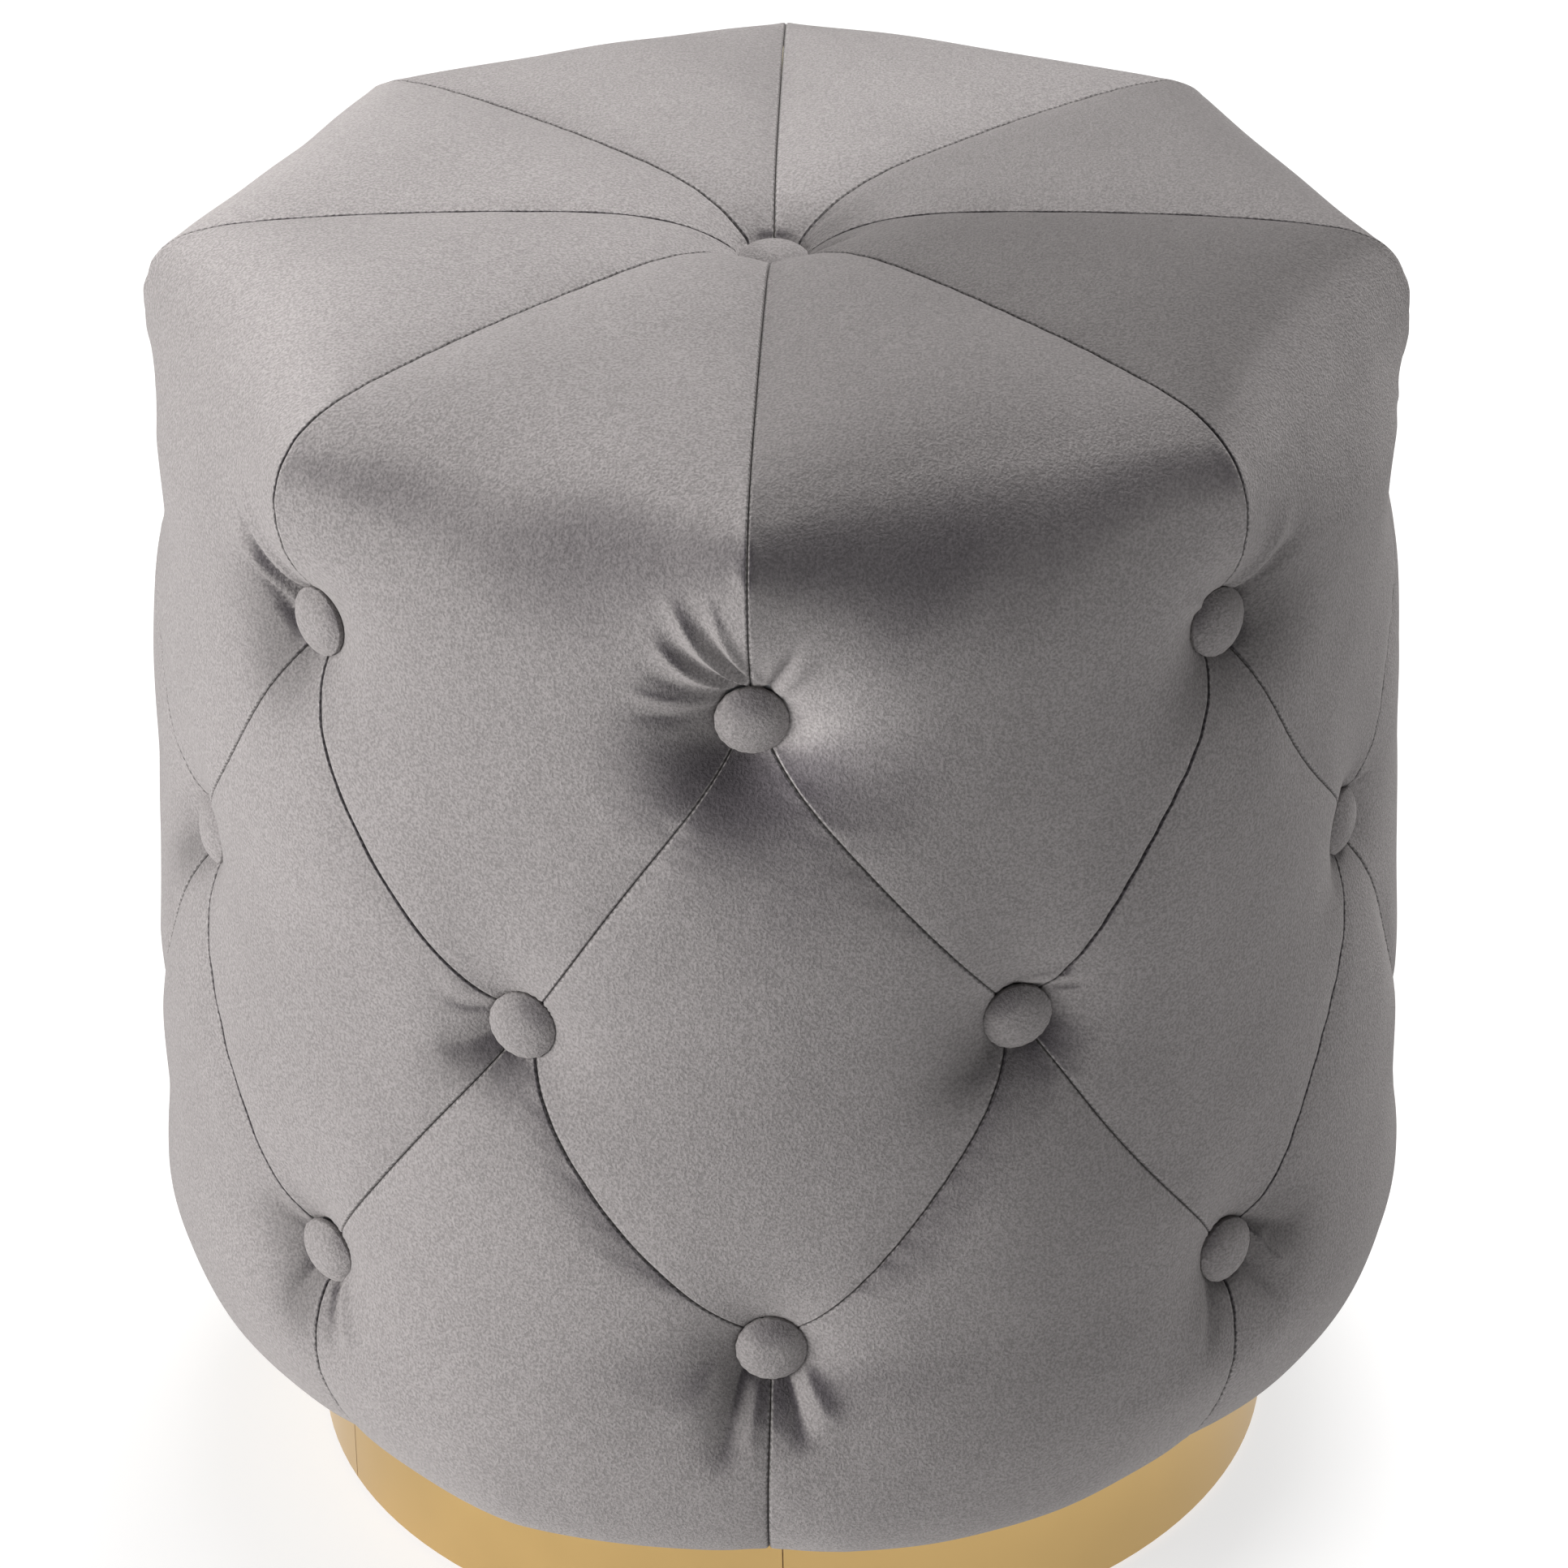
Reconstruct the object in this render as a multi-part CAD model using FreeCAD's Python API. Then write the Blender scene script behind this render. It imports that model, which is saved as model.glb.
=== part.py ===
import FreeCAD, Part
import math
import os

# A round, button-tufted pouf: an eight-sided velvet drum on a gold-clad plinth.
# Lengths are in millimetres and angles in degrees. +Z is up and the origin is on the floor,
# under the middle of the plinth. Azimuth 0 is the front, towards -Y, and grows towards +X.

Vector = FreeCAD.Vector
centre = Vector(0, 0, 0)
up = Vector(0, 0, 1)

# The cover: eight top petals, eight diamonds and eight skirt panels
panel_count = 8
velvet_thickness = 1.6
seam_gap = 0.3

# Heights of the cover, from the floor to its hem and from its hem to the top seams
hem_height = 61.6
body_height = 372.4
lower_row_share = 0.214
middle_row_share = 0.5065
upper_row_share = 0.8002

# Radii of the cover: its crown at the middle row, and the other places as shares of that
body_radius = 200.5
upper_crown_share = 0.979
lower_crown_share = 1.0225
corner_share = 1.0205
hem_bulge_share = 1.0355

# Tufting: how deep the buttons sit below the crowns, and how far a seam rises between them
tuft_depth = 13.0
top_tuft_depth = 19.0
seam_rise = 5.5
top_puff = 3.0
swell_power_share = 0.6
flank_share = 0.8
puff_lift_share = 0.9
loft_degree = 2

# Where the sections of a tapering panel lie, from its tip to its widest place
taper_shares = (0.04, 0.14, 0.34, 0.58, 0.8, 0.91, 1.0)

# The shoulder, from the upper buttons upwards. Radii are shares of the corner radius and
# heights are shares of the rise from the upper buttons to the top seams.
# Each row: seam radius, seam height, crown radius, crown height. The tilts are degrees.
shoulder_shares = (
    (0.948, 0.17, 0.957, 0.17),
    (0.982, 0.35, 0.947, 0.34),
    (0.998, 0.56, 0.931, 0.54),
    (0.965, 0.75, 0.886, 0.76),
    (0.889, 0.90, 0.811, 0.93),
)
shoulder_tilts = (0, 0, 10, 40, 65)

# The top, from the shoulder to the middle button: seam radius, seam height and puff
top_shares = (
    (0.733, 0.967, 1.0),
    (0.513, 1.0, 1.0),
    (0.293, 0.984, 0.8),
    (0.122, 0.906, 0.5),
    (0.055, 0.78, 0.3),
    (0.0244, 0.725, 0.2),
)

# The skirt, from the lower buttons down. Radii are shares of the bulge over the hem and
# heights are shares of the drop from the lower buttons to the hem: seam radius, crown radius,
# height. The tilts are degrees.
skirt_shares = (
    (0.968, 0.997, 0.81),
    (0.992, 1.0, 0.58),
    (0.992, 0.999, 0.38),
    (0.973, 0.988, 0.18),
    (0.940, 0.960, 0.06),
    (0.901, 0.916, 0.008),
)
skirt_tilts = (0, 0, -5, -25, -50, -75)
flange_shares = (0.3, 0.65)
pad_foot_share = 0.12
pad_foot_radius_shares = (0.933, 0.953)

# Padding
wadding_least = 3.0
side_foam_thickness = 25.0
foam_clearance = 0.3
foam_crown_drop = 8.0
foam_dish = 15.0
foam_shoulder_share = 0.79
foam_shoulder_fall = 33.0
foam_dish_reach_share = 0.35
foam_dish_height_share = 0.75
padding_overrun = 5.0

# Wooden frame
base_board_thickness = 15.0
seat_board_thickness = 12.0
seat_foam_edge = 7.0
wall_thickness = 4.0
post_count = 4
post_width = 28.0
post_azimuth = 11.25

# Covered buttons and what ties them
button_radius = 11.0
button_rim = 2.4
button_height = 6.0
button_back_radius = 8.5
button_back_thickness = 0.8
button_edge_round = 0.9
pocket_clearance = 0.4
loop_radius = 2.0
loop_wire = 0.5
shank_hole_radius = 3.2
twine_radius = 0.8
twine_clearance = 0.3
toggle_radius = 3.0
toggle_length = 18.0

# Plinth
plinth_setback = 40.0
band_thickness = 0.8
band_joint_gap = 0.4
band_joint_azimuths = (-63.5, 1.0)
hoop_thickness = 15.0
hoop_clearance = 0.1
glide_count = 6
glide_radius = 6.5
glide_thickness = 2.0
cleat_count = 4
cleat_width = 40.0
cleat_depth = 18.0
cleat_height = 32.0

# Fixings and the cloth underneath
screw_radius = 2.0
screw_head_radius = 4.0
screw_head_height = 2.4
screw_bite = 10.0
frame_screw_length = 45.0
screw_clearance = 0.1
cleat_screw_share = 0.3
cover_setback = 8.5
cover_thickness = 0.6
cover_staple_count = 16
cover_staple_inset = 6.0
staple_crown = 10.0
staple_width = 1.2
staple_wire = 0.6
staple_leg = 6.0
staple_clearance = 0.1
hem_staples_per_panel = 3
hem_staple_step = 12.0
hem_staple_inset = 8.0
cut_overrun = 5.0

# Sizes that follow from those above
pitch = 360.0 / panel_count
half_pitch = pitch / 2
lower_row = hem_height + body_height * lower_row_share
middle_row = hem_height + body_height * middle_row_share
upper_row = hem_height + body_height * upper_row_share
top_seam_height = hem_height + body_height
plinth_radius = body_radius - plinth_setback
upper_crown = body_radius * upper_crown_share
lower_crown = body_radius * lower_crown_share
corner_radius = body_radius * corner_share
hem_bulge = body_radius * hem_bulge_share
upper_seat = upper_crown - tuft_depth
middle_seat = body_radius - tuft_depth
lower_seat = lower_crown - tuft_depth
top_seat = top_seam_height - top_tuft_depth
foam_radius = upper_seat - velvet_thickness - wadding_least - foam_clearance
wall_radius = foam_radius - side_foam_thickness - foam_clearance
wall_inner = wall_radius - wall_thickness
pad_blank = hem_bulge - foam_radius + padding_overrun
foam_top = top_seam_height - foam_crown_drop
foam_edge_height = foam_top - foam_shoulder_fall
seat_board_top = foam_edge_height - seat_foam_edge - foam_clearance
seat_board_bottom = seat_board_top - seat_board_thickness
base_board_bottom = hem_height + velvet_thickness + seam_gap + foam_clearance
base_board_top = base_board_bottom + base_board_thickness
hoop_radius = plinth_radius - band_thickness - hoop_clearance
hoop_inner = hoop_radius - hoop_thickness
cover_radius = hoop_inner - cleat_depth - cover_setback
flange_radius = (plinth_radius + foam_clearance) / math.cos(math.radians(half_pitch))
pocket_radius = button_radius + pocket_clearance


def at(azimuth, radius, height):
    """The point at an azimuth, a distance from the axis and a height."""
    angle = math.radians(azimuth)
    return Vector(radius * math.sin(angle), -radius * math.cos(angle), height)


def outward(azimuth, tilt):
    """The unit vector that leans up by tilt from the horizontal at an azimuth."""
    lean = math.radians(tilt)
    return at(azimuth, math.cos(lean), math.sin(lean))


def azimuth_of(point):
    return math.degrees(math.atan2(point.x, -point.y))


def line(start, end):
    return Part.LineSegment(start, end).toShape()


def arc(start, middle, end):
    return Part.Arc(start, middle, end).toShape()


def turned(shape, azimuth):
    """A copy of a shape, turned about the axis from the front to an azimuth."""
    copy = shape.copy()
    copy.rotate(centre, up, azimuth)
    return copy


def ring_of(shape, count, first=0.0):
    """Copies of a shape, evenly spaced about the axis."""
    return [turned(shape, first + 360.0 / count * index) for index in range(count)]


def blend(start, end, share):
    return start + (end - start) * share


def swell(share):
    """How far a puffed panel has risen, at a share of the way from its tip to its widest."""
    return math.sin(math.radians(90.0 * share)) ** swell_power_share


def crest(share):
    """How far a seam has risen, at a share of the way from one button to the next."""
    return swell(min(share, 1 - share) * 2)


def lofted(sections):
    """A solid through closed outlines, with curves of a low degree so that it doesn't ripple."""
    return Part.makeLoft(sections, True, False, False, loft_degree)


def largest(shape):
    """The main solid of a shape, without the scraps that its cuts leave."""
    return max(shape.Solids, key=lambda solid: solid.Volume)


# A panel is built about azimuth 0. Each section has a seam point at both sides, a crown point
# in the middle and flanks that join them, once on the outside and once on the inside.

def side_angle(half_angle, radius):
    """The angle from a panel's middle to its edge, half a seam's gap short of the seam."""
    return half_angle - math.degrees(seam_gap / 2 / radius)


def chord_radius(radius):
    """How far from the axis the straight line between a panel's two seams passes."""
    return radius * math.cos(math.radians(side_angle(half_pitch, radius)))


def flank_lift(rise, round_rise):
    """The share of the crown's rise that a flank has: little of a round rise, most of a puff."""
    round_part = min(rise, round_rise)
    puff_part = rise - round_part
    return (round_part * (1 - flank_share ** 2) + puff_part * puff_lift_share) / rise


def section_points(seam, crown, half_angle):
    seam_radius, seam_height = seam
    crown_radius, crown_height = crown
    side = side_angle(half_angle, seam_radius)
    left = at(-side, seam_radius, seam_height)
    right = at(side, seam_radius, seam_height)
    crown_point = at(0, crown_radius, crown_height)
    chord = (left + right) * 0.5
    rise = crown_point - chord
    lift = rise * flank_lift(rise.Length, crown_radius * (1 - math.cos(math.radians(side))))
    left_flank = chord + (left - chord) * flank_share + lift
    right_flank = chord + (right - chord) * flank_share + lift
    return [left, left_flank, crown_point, right_flank, right]


def sunk(points, tilt, depth):
    """The points moved into the body, against the direction that the surface faces."""
    return [point - outward(azimuth_of(point), tilt) * depth for point in points]


def rim(points):
    first, first_flank, crown_point, second_flank, second = points
    return [line(first, first_flank), arc(first_flank, crown_point, second_flank), line(second_flank, second)]


def section(seam, crown, half_angle, tilt, skin):
    """The closed outline between two depths below the cover's surface."""
    points = section_points(seam, crown, half_angle)
    outer = sunk(points, tilt, skin[0])
    inner = sunk(points, tilt, skin[1])
    right_side = [line(outer[-1], inner[-1])]
    left_side = [line(inner[0], outer[0])]
    return Part.Wire(rim(outer) + right_side + rim(inner[::-1]) + left_side)


def taper(tip_row, tip_seat, wide_row, wide_seat, wide_crown, skin):
    """Half a diamond, from its tip at one row of buttons to its corners at another."""
    sections = []
    for share in taper_shares:
        height = blend(tip_row, wide_row, share)
        seam_radius = blend(tip_seat, wide_seat, share) + seam_rise * crest(share)
        crown_radius = blend(tip_seat, wide_crown, swell(share))
        crown_radius = max(crown_radius, seam_radius)
        seam = seam_radius, height
        sections.append(section(seam, (crown_radius, height), half_pitch * share, 0, skin))
    return lofted(sections)


def petal_top(skin):
    """A top petal from the upper buttons, over the shoulder, to the middle button."""
    rise = top_seam_height - upper_row
    level = section((upper_seat, upper_row), (upper_crown, upper_row), half_pitch, 0, skin)
    sections = [level]
    for shares, tilt in zip(shoulder_shares, shoulder_tilts):
        seam = corner_radius * shares[0], upper_row + rise * shares[1]
        crown = corner_radius * shares[2], upper_row + rise * shares[3]
        sections.append(section(seam, crown, half_pitch, tilt, skin))
    for radius_share, height_share, puff_share in top_shares:
        seam = corner_radius * radius_share, upper_row + rise * height_share
        crown = chord_radius(seam[0]), seam[1] + top_puff * puff_share
        sections.append(section(seam, crown, half_pitch, 90, skin))
    return lofted(sections)


def skirt_places():
    drop = lower_row - hem_height
    for shares, tilt in zip(skirt_shares, skirt_tilts):
        height = hem_height + drop * shares[2]
        yield (hem_bulge * shares[0], height), (hem_bulge * shares[1], height), tilt


def skirt_foot(skin):
    """A skirt panel from the lower buttons down, round the hem and in under the board."""
    level = section((lower_seat, lower_row), (lower_crown, lower_row), half_pitch, 0, skin)
    sections = [level]
    for seam, crown, tilt in skirt_places():
        sections.append(section(seam, crown, half_pitch, tilt, skin))
    edge = (flange_radius, hem_height + seam_gap), (chord_radius(flange_radius), hem_height)
    for share in flange_shares:
        seam_place = blend(seam[0], edge[0][0], share), edge[0][1]
        crown_place = blend(crown[0], edge[1][0], share), edge[1][1]
        sections.append(section(seam_place, crown_place, half_pitch, -90, skin))
    sections.append(section(edge[0], edge[1], half_pitch, -90, skin))
    return lofted(sections)


def skirt_pad_foot(skin):
    """The wadding of a skirt panel, from the lower buttons down to the board's edge."""
    drop = lower_row - hem_height
    level = section((lower_seat, lower_row), (lower_crown, lower_row), half_pitch, 0, skin)
    sections = [level]
    for seam, crown, tilt in skirt_places():
        if tilt > skirt_tilts[3]:
            sections.append(section(seam, crown, half_pitch, 0, skin))
    seam_share, crown_share = pad_foot_radius_shares
    height = hem_height + drop * pad_foot_share
    foot = (hem_bulge * seam_share, height), (hem_bulge * crown_share, height)
    sections.append(section(foot[0], foot[1], half_pitch, 0, skin))
    return lofted(sections)


def whole(halves):
    """Two halves that share a level face, as one solid."""
    return largest(halves[0].fuse(halves[1]).removeSplitter())


# The places where buttons pull the cover in. A well is what a button and its loop need.

def well(azimuth, seat, height):
    direction = outward(azimuth, 0)
    pocket = Part.makeCylinder(pocket_radius, body_radius, at(azimuth, seat, height), direction)
    length = pad_blank + tuft_depth
    start = at(azimuth, seat - length, height)
    return pocket.fuse(Part.makeCylinder(shank_hole_radius, length + cut_overrun, start, direction))


def top_well():
    pocket = Part.makeCylinder(pocket_radius, body_height, Vector(0, 0, top_seat))
    start = Vector(0, 0, top_seat - pad_blank)
    return pocket.fuse(Part.makeCylinder(shank_hole_radius, pad_blank + cut_overrun, start))


def petal(skin):
    lower = taper(middle_row, middle_seat, upper_row, upper_seat, upper_crown, skin)
    wells = [well(0, middle_seat, middle_row), top_well()]
    wells += [well(side, upper_seat, upper_row) for side in (-half_pitch, half_pitch)]
    return largest(whole([lower, petal_top(skin)]).cut(wells))


def diamond(skin):
    upper = taper(upper_row, upper_seat, middle_row, middle_seat, body_radius, skin)
    lower = taper(lower_row, lower_seat, middle_row, middle_seat, body_radius, skin)
    wells = [well(0, upper_seat, upper_row), well(0, lower_seat, lower_row)]
    wells += [well(side, middle_seat, middle_row) for side in (-half_pitch, half_pitch)]
    return largest(whole([upper, lower]).cut(wells))


def skirt(skin, foot):
    upper = taper(middle_row, middle_seat, lower_row, lower_seat, lower_crown, skin)
    wells = [well(0, middle_seat, middle_row)]
    wells += [well(side, lower_seat, lower_row) for side in (-half_pitch, half_pitch)]
    return largest(whole([upper, foot(skin)]).cut(wells))


# Padding and the wooden frame inside it

def foam_outline(grow):
    """Half the outline of the seat foam over the frame, grown all round."""
    shoulder = foam_radius * foam_shoulder_share
    lean = math.sqrt(0.5)
    span = foam_radius + grow - shoulder
    top = foam_top + grow
    dish = Vector(0, 0, top - foam_dish)
    dish_middle = Vector(shoulder * foam_dish_reach_share, 0, blend(dish.z, top, foam_dish_height_share))
    brow = Vector(shoulder, 0, top)
    edge = Vector(foam_radius + grow, 0, foam_edge_height)
    bend = Vector(shoulder + span * lean, 0, blend(edge.z, top, lean))
    return [arc(dish, dish_middle, brow), arc(brow, bend, edge)]


def revolved(edges):
    return Part.Face(Part.Wire(edges)).revolve(centre, up, 360)


def core(bottom, grow):
    """The space of the foam and frame from a level upwards, grown all round."""
    edges = foam_outline(grow)
    top = edges[0].Vertexes[0].Point
    outer = Vector(foam_radius + grow, 0, bottom)
    inner = Vector(0, 0, bottom)
    edge = Vector(foam_radius + grow, 0, foam_edge_height)
    return revolved(edges + [line(edge, outer), line(outer, inner), line(inner, top)])


def rod(azimuth, height, inner, outer, radius):
    """A round bar or hole that runs out from the axis."""
    start = at(azimuth, inner, height)
    return Part.makeCylinder(radius, outer - inner, start, outward(azimuth, 0))


def side_places():
    """Azimuth, seat radius and height of each button on the side."""
    for index in range(panel_count):
        yield pitch * index, upper_seat, upper_row
        yield pitch * index + half_pitch, middle_seat, middle_row
        yield pitch * index, lower_seat, lower_row


def twine_holes():
    radius = twine_radius + twine_clearance
    start = wall_inner - cut_overrun
    return [rod(azimuth, height, start, body_radius, radius) for azimuth, seat, height in side_places()]


def middle_hole():
    return Part.makeCylinder(twine_radius + twine_clearance, body_height, Vector(0, 0, base_board_top))


def seat_foam():
    return core(seat_board_top + foam_clearance, 0).cut(middle_hole())


def side_foam():
    height = seat_board_top - base_board_top
    base = Vector(0, 0, base_board_top)
    ring = Part.makeCylinder(foam_radius, height, base)
    bore = Part.makeCylinder(wall_radius + foam_clearance, height, base)
    return ring.cut(bore).cut(twine_holes())


def frame_wall():
    height = seat_board_bottom - base_board_top
    base = Vector(0, 0, base_board_top)
    tube = Part.makeCylinder(wall_radius, height, base).cut(Part.makeCylinder(wall_inner, height, base))
    return tube.cut(twine_holes())


def post_reach():
    """How far the outer face of a post stands from the axis, just inside the wall."""
    return math.sqrt(wall_inner ** 2 - (post_width / 2) ** 2) - foam_clearance


def post():
    corner = Vector(-post_width / 2, -post_reach(), base_board_top)
    return Part.makeBox(post_width, post_width, seat_board_bottom - base_board_top, corner)


def frame_posts():
    return [each.cut(frame_screw_holes()) for each in ring_of(post(), post_count, post_azimuth)]


def screw(head, length, direction, grow):
    """A countersunk screw whose head is flush at a point."""
    cone = Part.makeCone(screw_head_radius + grow, screw_radius + grow, screw_head_height, head, direction)
    return cone.fuse(Part.makeCylinder(screw_radius + grow, length, head, direction)).removeSplitter()


def frame_screws(grow=0.0):
    down = Vector(0, 0, -1)
    place = post_reach() - post_width / 2
    low = screw(at(0, place, base_board_bottom), frame_screw_length, up, grow)
    high = screw(at(0, place, seat_board_top), frame_screw_length, down, grow)
    return ring_of(low, post_count, post_azimuth) + ring_of(high, post_count, post_azimuth)


def frame_screw_holes():
    return frame_screws(screw_clearance)


def seat_board():
    disc = Part.makeCylinder(wall_radius, seat_board_thickness, Vector(0, 0, seat_board_bottom))
    return disc.cut([middle_hole()] + frame_screw_holes())


def base_board():
    disc = Part.makeCylinder(foam_radius, base_board_thickness, Vector(0, 0, base_board_bottom))
    tools = frame_screw_holes() + plinth_screws(screw_clearance)
    tools += cover_staples(staple_clearance) + hem_staples(staple_clearance)
    return disc.cut(tools)


# Covered buttons. Each is drawn about +X, with its back on the seat at zero.

def button_cap():
    back = foam_clearance + button_back_thickness
    front = back + button_height
    rim_top = back + button_rim
    low = Vector(back, 0, 0)
    low_edge = Vector(back, 0, button_radius - button_edge_round)
    bevel = button_edge_round * (1 - math.sqrt(0.5))
    edge_middle = Vector(back + bevel, 0, button_radius - bevel)
    edge = Vector(back + button_edge_round, 0, button_radius)
    rim_edge = Vector(rim_top, 0, button_radius)
    dome_radius = (button_radius ** 2 + (front - rim_top) ** 2) / (front - rim_top) / 2
    half_turn = math.asin(button_radius / dome_radius) / 2
    dome = Vector(front - dome_radius * (1 - math.cos(half_turn)), 0, dome_radius * math.sin(half_turn))
    tip = Vector(front, 0, 0)
    outline = [line(low, low_edge), arc(low_edge, edge_middle, edge), line(edge, rim_edge)]
    outline += [arc(rim_edge, dome, tip), line(tip, low)]
    return Part.Face(Part.Wire(outline)).revolve(centre, Vector(1, 0, 0), 360)


def button_loop():
    start = Vector(foam_clearance, 0, 0)
    plate = Part.makeCylinder(button_back_radius, button_back_thickness, start, Vector(1, 0, 0))
    hoop = Part.makeTorus(loop_radius, loop_wire, start, Vector(0, 1, 0))
    inner_half = Part.makeBox(body_radius, body_radius, body_radius)
    inner_half.translate(Vector(-body_radius + foam_clearance, -body_radius / 2, -body_radius / 2))
    return plate.fuse(hoop.common(inner_half)).Solids[0]


def placed(shape, azimuth, seat, height):
    """A copy of a shape drawn about +X, set at a place on the side."""
    copy = shape.copy()
    copy.rotate(centre, up, azimuth - 90)
    copy.translate(at(azimuth, seat, height))
    return copy


def placed_on_top(shape):
    copy = shape.copy()
    copy.rotate(centre, Vector(0, 1, 0), -90)
    copy.translate(Vector(0, 0, top_seat))
    return copy


def button_row(seat, height, first):
    azimuths = [first + pitch * index for index in range(panel_count)]
    return [placed(button_cap(), azimuth, seat, height) for azimuth in azimuths]


def button_loops():
    return [placed_on_top(button_loop())] + [placed(button_loop(), *place) for place in side_places()]


def loop_reach():
    """How far a loop stands in from the seat, with room for the twine's end."""
    return loop_radius + loop_wire - foam_clearance + twine_clearance


def button_twines():
    toggle_face = wall_inner - foam_clearance
    twines = []
    for azimuth, seat, height in side_places():
        twines.append(rod(azimuth, height, toggle_face, seat - loop_reach(), twine_radius))
    low = seat_board_bottom - foam_clearance
    twines.append(Part.makeCylinder(twine_radius, top_seat - loop_reach() - low, Vector(0, 0, low)))
    return twines


def twine_toggles():
    reach = wall_inner - foam_clearance * 2 - toggle_radius
    end = at(0, reach, 0) - Vector(toggle_length / 2, 0, 0)
    bar = Part.makeCylinder(toggle_radius, toggle_length, end, Vector(1, 0, 0))
    toggles = []
    for azimuth, seat, height in side_places():
        toggle = turned(bar, azimuth)
        toggle.translate(Vector(0, 0, height))
        toggles.append(toggle)
    low = seat_board_bottom - foam_clearance * 2 - toggle_radius
    start = Vector(-toggle_length / 2, 0, low)
    toggles.append(Part.makeCylinder(toggle_radius, toggle_length, start, Vector(1, 0, 0)))
    return toggles


# Plinth, what holds it and what it stands on

def plinth_tube(outer, inner):
    base = Vector(0, 0, glide_thickness)
    height = base_board_bottom - glide_thickness
    return Part.makeCylinder(outer, height, base).cut(Part.makeCylinder(inner, height, base))


def plinth_band():
    """The metal skin: two strips bent round the hoop, which butt at two upright joints."""
    tube = plinth_tube(plinth_radius, plinth_radius - band_thickness)
    corner = Vector(-band_joint_gap / 2, -plinth_radius - cut_overrun, 0)
    slit = Part.makeBox(band_joint_gap, cut_overrun * 2 + band_thickness, base_board_top, corner)
    return tube.cut([turned(slit, azimuth) for azimuth in band_joint_azimuths]).Solids


def plinth_cleat():
    height = base_board_bottom - cleat_height
    corner = Vector(-cleat_width / 2, -hoop_inner, height)
    block = Part.makeBox(cleat_width, cleat_depth, cleat_height, corner)
    bore = Part.makeCylinder(hoop_inner - hoop_clearance, cleat_height, Vector(0, 0, height))
    return block.common(bore)


def plinth_cleats():
    cleats = ring_of(plinth_cleat(), cleat_count)
    return [cleat.cut(plinth_screws(screw_clearance)) for cleat in cleats]


def plinth_screws(grow=0.0):
    head = base_board_bottom - cleat_height
    reach = hoop_inner - cleat_depth / 2
    screws = []
    for side in (-1, 1):
        place = Vector(side * cleat_width * cleat_screw_share, -reach, head)
        screws += ring_of(screw(place, cleat_height + screw_bite, up, grow), cleat_count)
    return screws


def floor_glides():
    place = at(0, hoop_radius - hoop_thickness / 2, 0)
    glide = Part.makeCylinder(glide_radius, glide_thickness, place)
    return ring_of(glide, glide_count, 180.0 / glide_count)


# Dust cover and staples under the base board

def dust_cover():
    disc = Part.makeCylinder(cover_radius, cover_thickness, Vector(0, 0, base_board_bottom - cover_thickness))
    return disc.cut(cover_staples(staple_clearance))


def staple(reach, seat, grow):
    """A staple at the front whose crown lies along the rim and whose legs point up."""
    corner = Vector(-staple_crown / 2 - grow, -reach - staple_width / 2 - grow, seat - staple_wire)
    width = staple_width + 2 * grow
    crown_bar = Part.makeBox(staple_crown + 2 * grow, width, staple_wire, corner)
    leg = Part.makeBox(staple_wire + 2 * grow, width, staple_leg + staple_wire, corner)
    far_leg = leg.copy()
    far_leg.translate(Vector(staple_crown - staple_wire, 0, 0))
    return crown_bar.fuse([leg, far_leg]).removeSplitter()


def cover_staples(grow=0.0):
    seat = base_board_bottom - cover_thickness
    return ring_of(staple(cover_radius - cover_staple_inset, seat, grow), cover_staple_count)


def panel_staples(grow=0.0):
    """The staples that hold the hem of one skirt panel, spaced about azimuth 0."""
    one = staple(plinth_radius + hem_staple_inset, hem_height, grow)
    middle = (hem_staples_per_panel - 1) / 2
    return [turned(one, (index - middle) * hem_staple_step) for index in range(hem_staples_per_panel)]


def hem_staples(grow=0.0):
    staples = []
    for one in panel_staples(grow):
        staples += ring_of(one, panel_count, half_pitch)
    return staples


def save(node, solids):
    shape = solids[0] if len(solids) == 1 else Part.makeCompound(solids)
    if not shape.isValid():
        print("invalid", node)
    print(node, len(shape.Solids), round(shape.Volume))
    shape.exportStep("parts/" + node + ".step")


def save_panels():
    skin = 0.0, velvet_thickness
    stapled_skirt = largest(skirt(skin, skirt_foot).cut(panel_staples(staple_clearance)))
    petals = ring_of(petal(skin), panel_count, half_pitch)
    diamonds = ring_of(diamond(skin), panel_count)
    skirts = ring_of(stapled_skirt, panel_count, half_pitch)
    for index in range(panel_count):
        number = "_" + str(index + 1)
        save("top_panel" + number, [petals[index]])
        save("diamond_panel" + number, [diamonds[index]])
        save("skirt_panel" + number, [skirts[index]])


def save_padding():
    skin = velvet_thickness + foam_clearance, pad_blank
    inside = core(0, foam_clearance)
    petal_pad = largest(petal(skin).cut(inside))
    diamond_pad = largest(diamond(skin).cut(inside))
    skirt_pad = largest(skirt(skin, skirt_pad_foot).cut(inside))
    save("top_wadding", ring_of(petal_pad, panel_count, half_pitch))
    save("diamond_wadding", ring_of(diamond_pad, panel_count))
    save("skirt_wadding", ring_of(skirt_pad, panel_count, half_pitch))
    save("seat_foam", [seat_foam()])
    save("side_foam", [side_foam()])


def save_buttons():
    save("top_button", [placed_on_top(button_cap())])
    save("upper_row_buttons", button_row(upper_seat, upper_row, 0.0))
    save("middle_row_buttons", button_row(middle_seat, middle_row, half_pitch))
    save("lower_row_buttons", button_row(lower_seat, lower_row, 0.0))
    save("button_loops", button_loops())
    save("button_twines", button_twines())
    save("twine_toggles", twine_toggles())


def save_frame():
    save("seat_board", [seat_board()])
    save("frame_wall", [frame_wall()])
    save("frame_posts", frame_posts())
    save("frame_screws", frame_screws())
    save("base_board", [base_board()])


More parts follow.
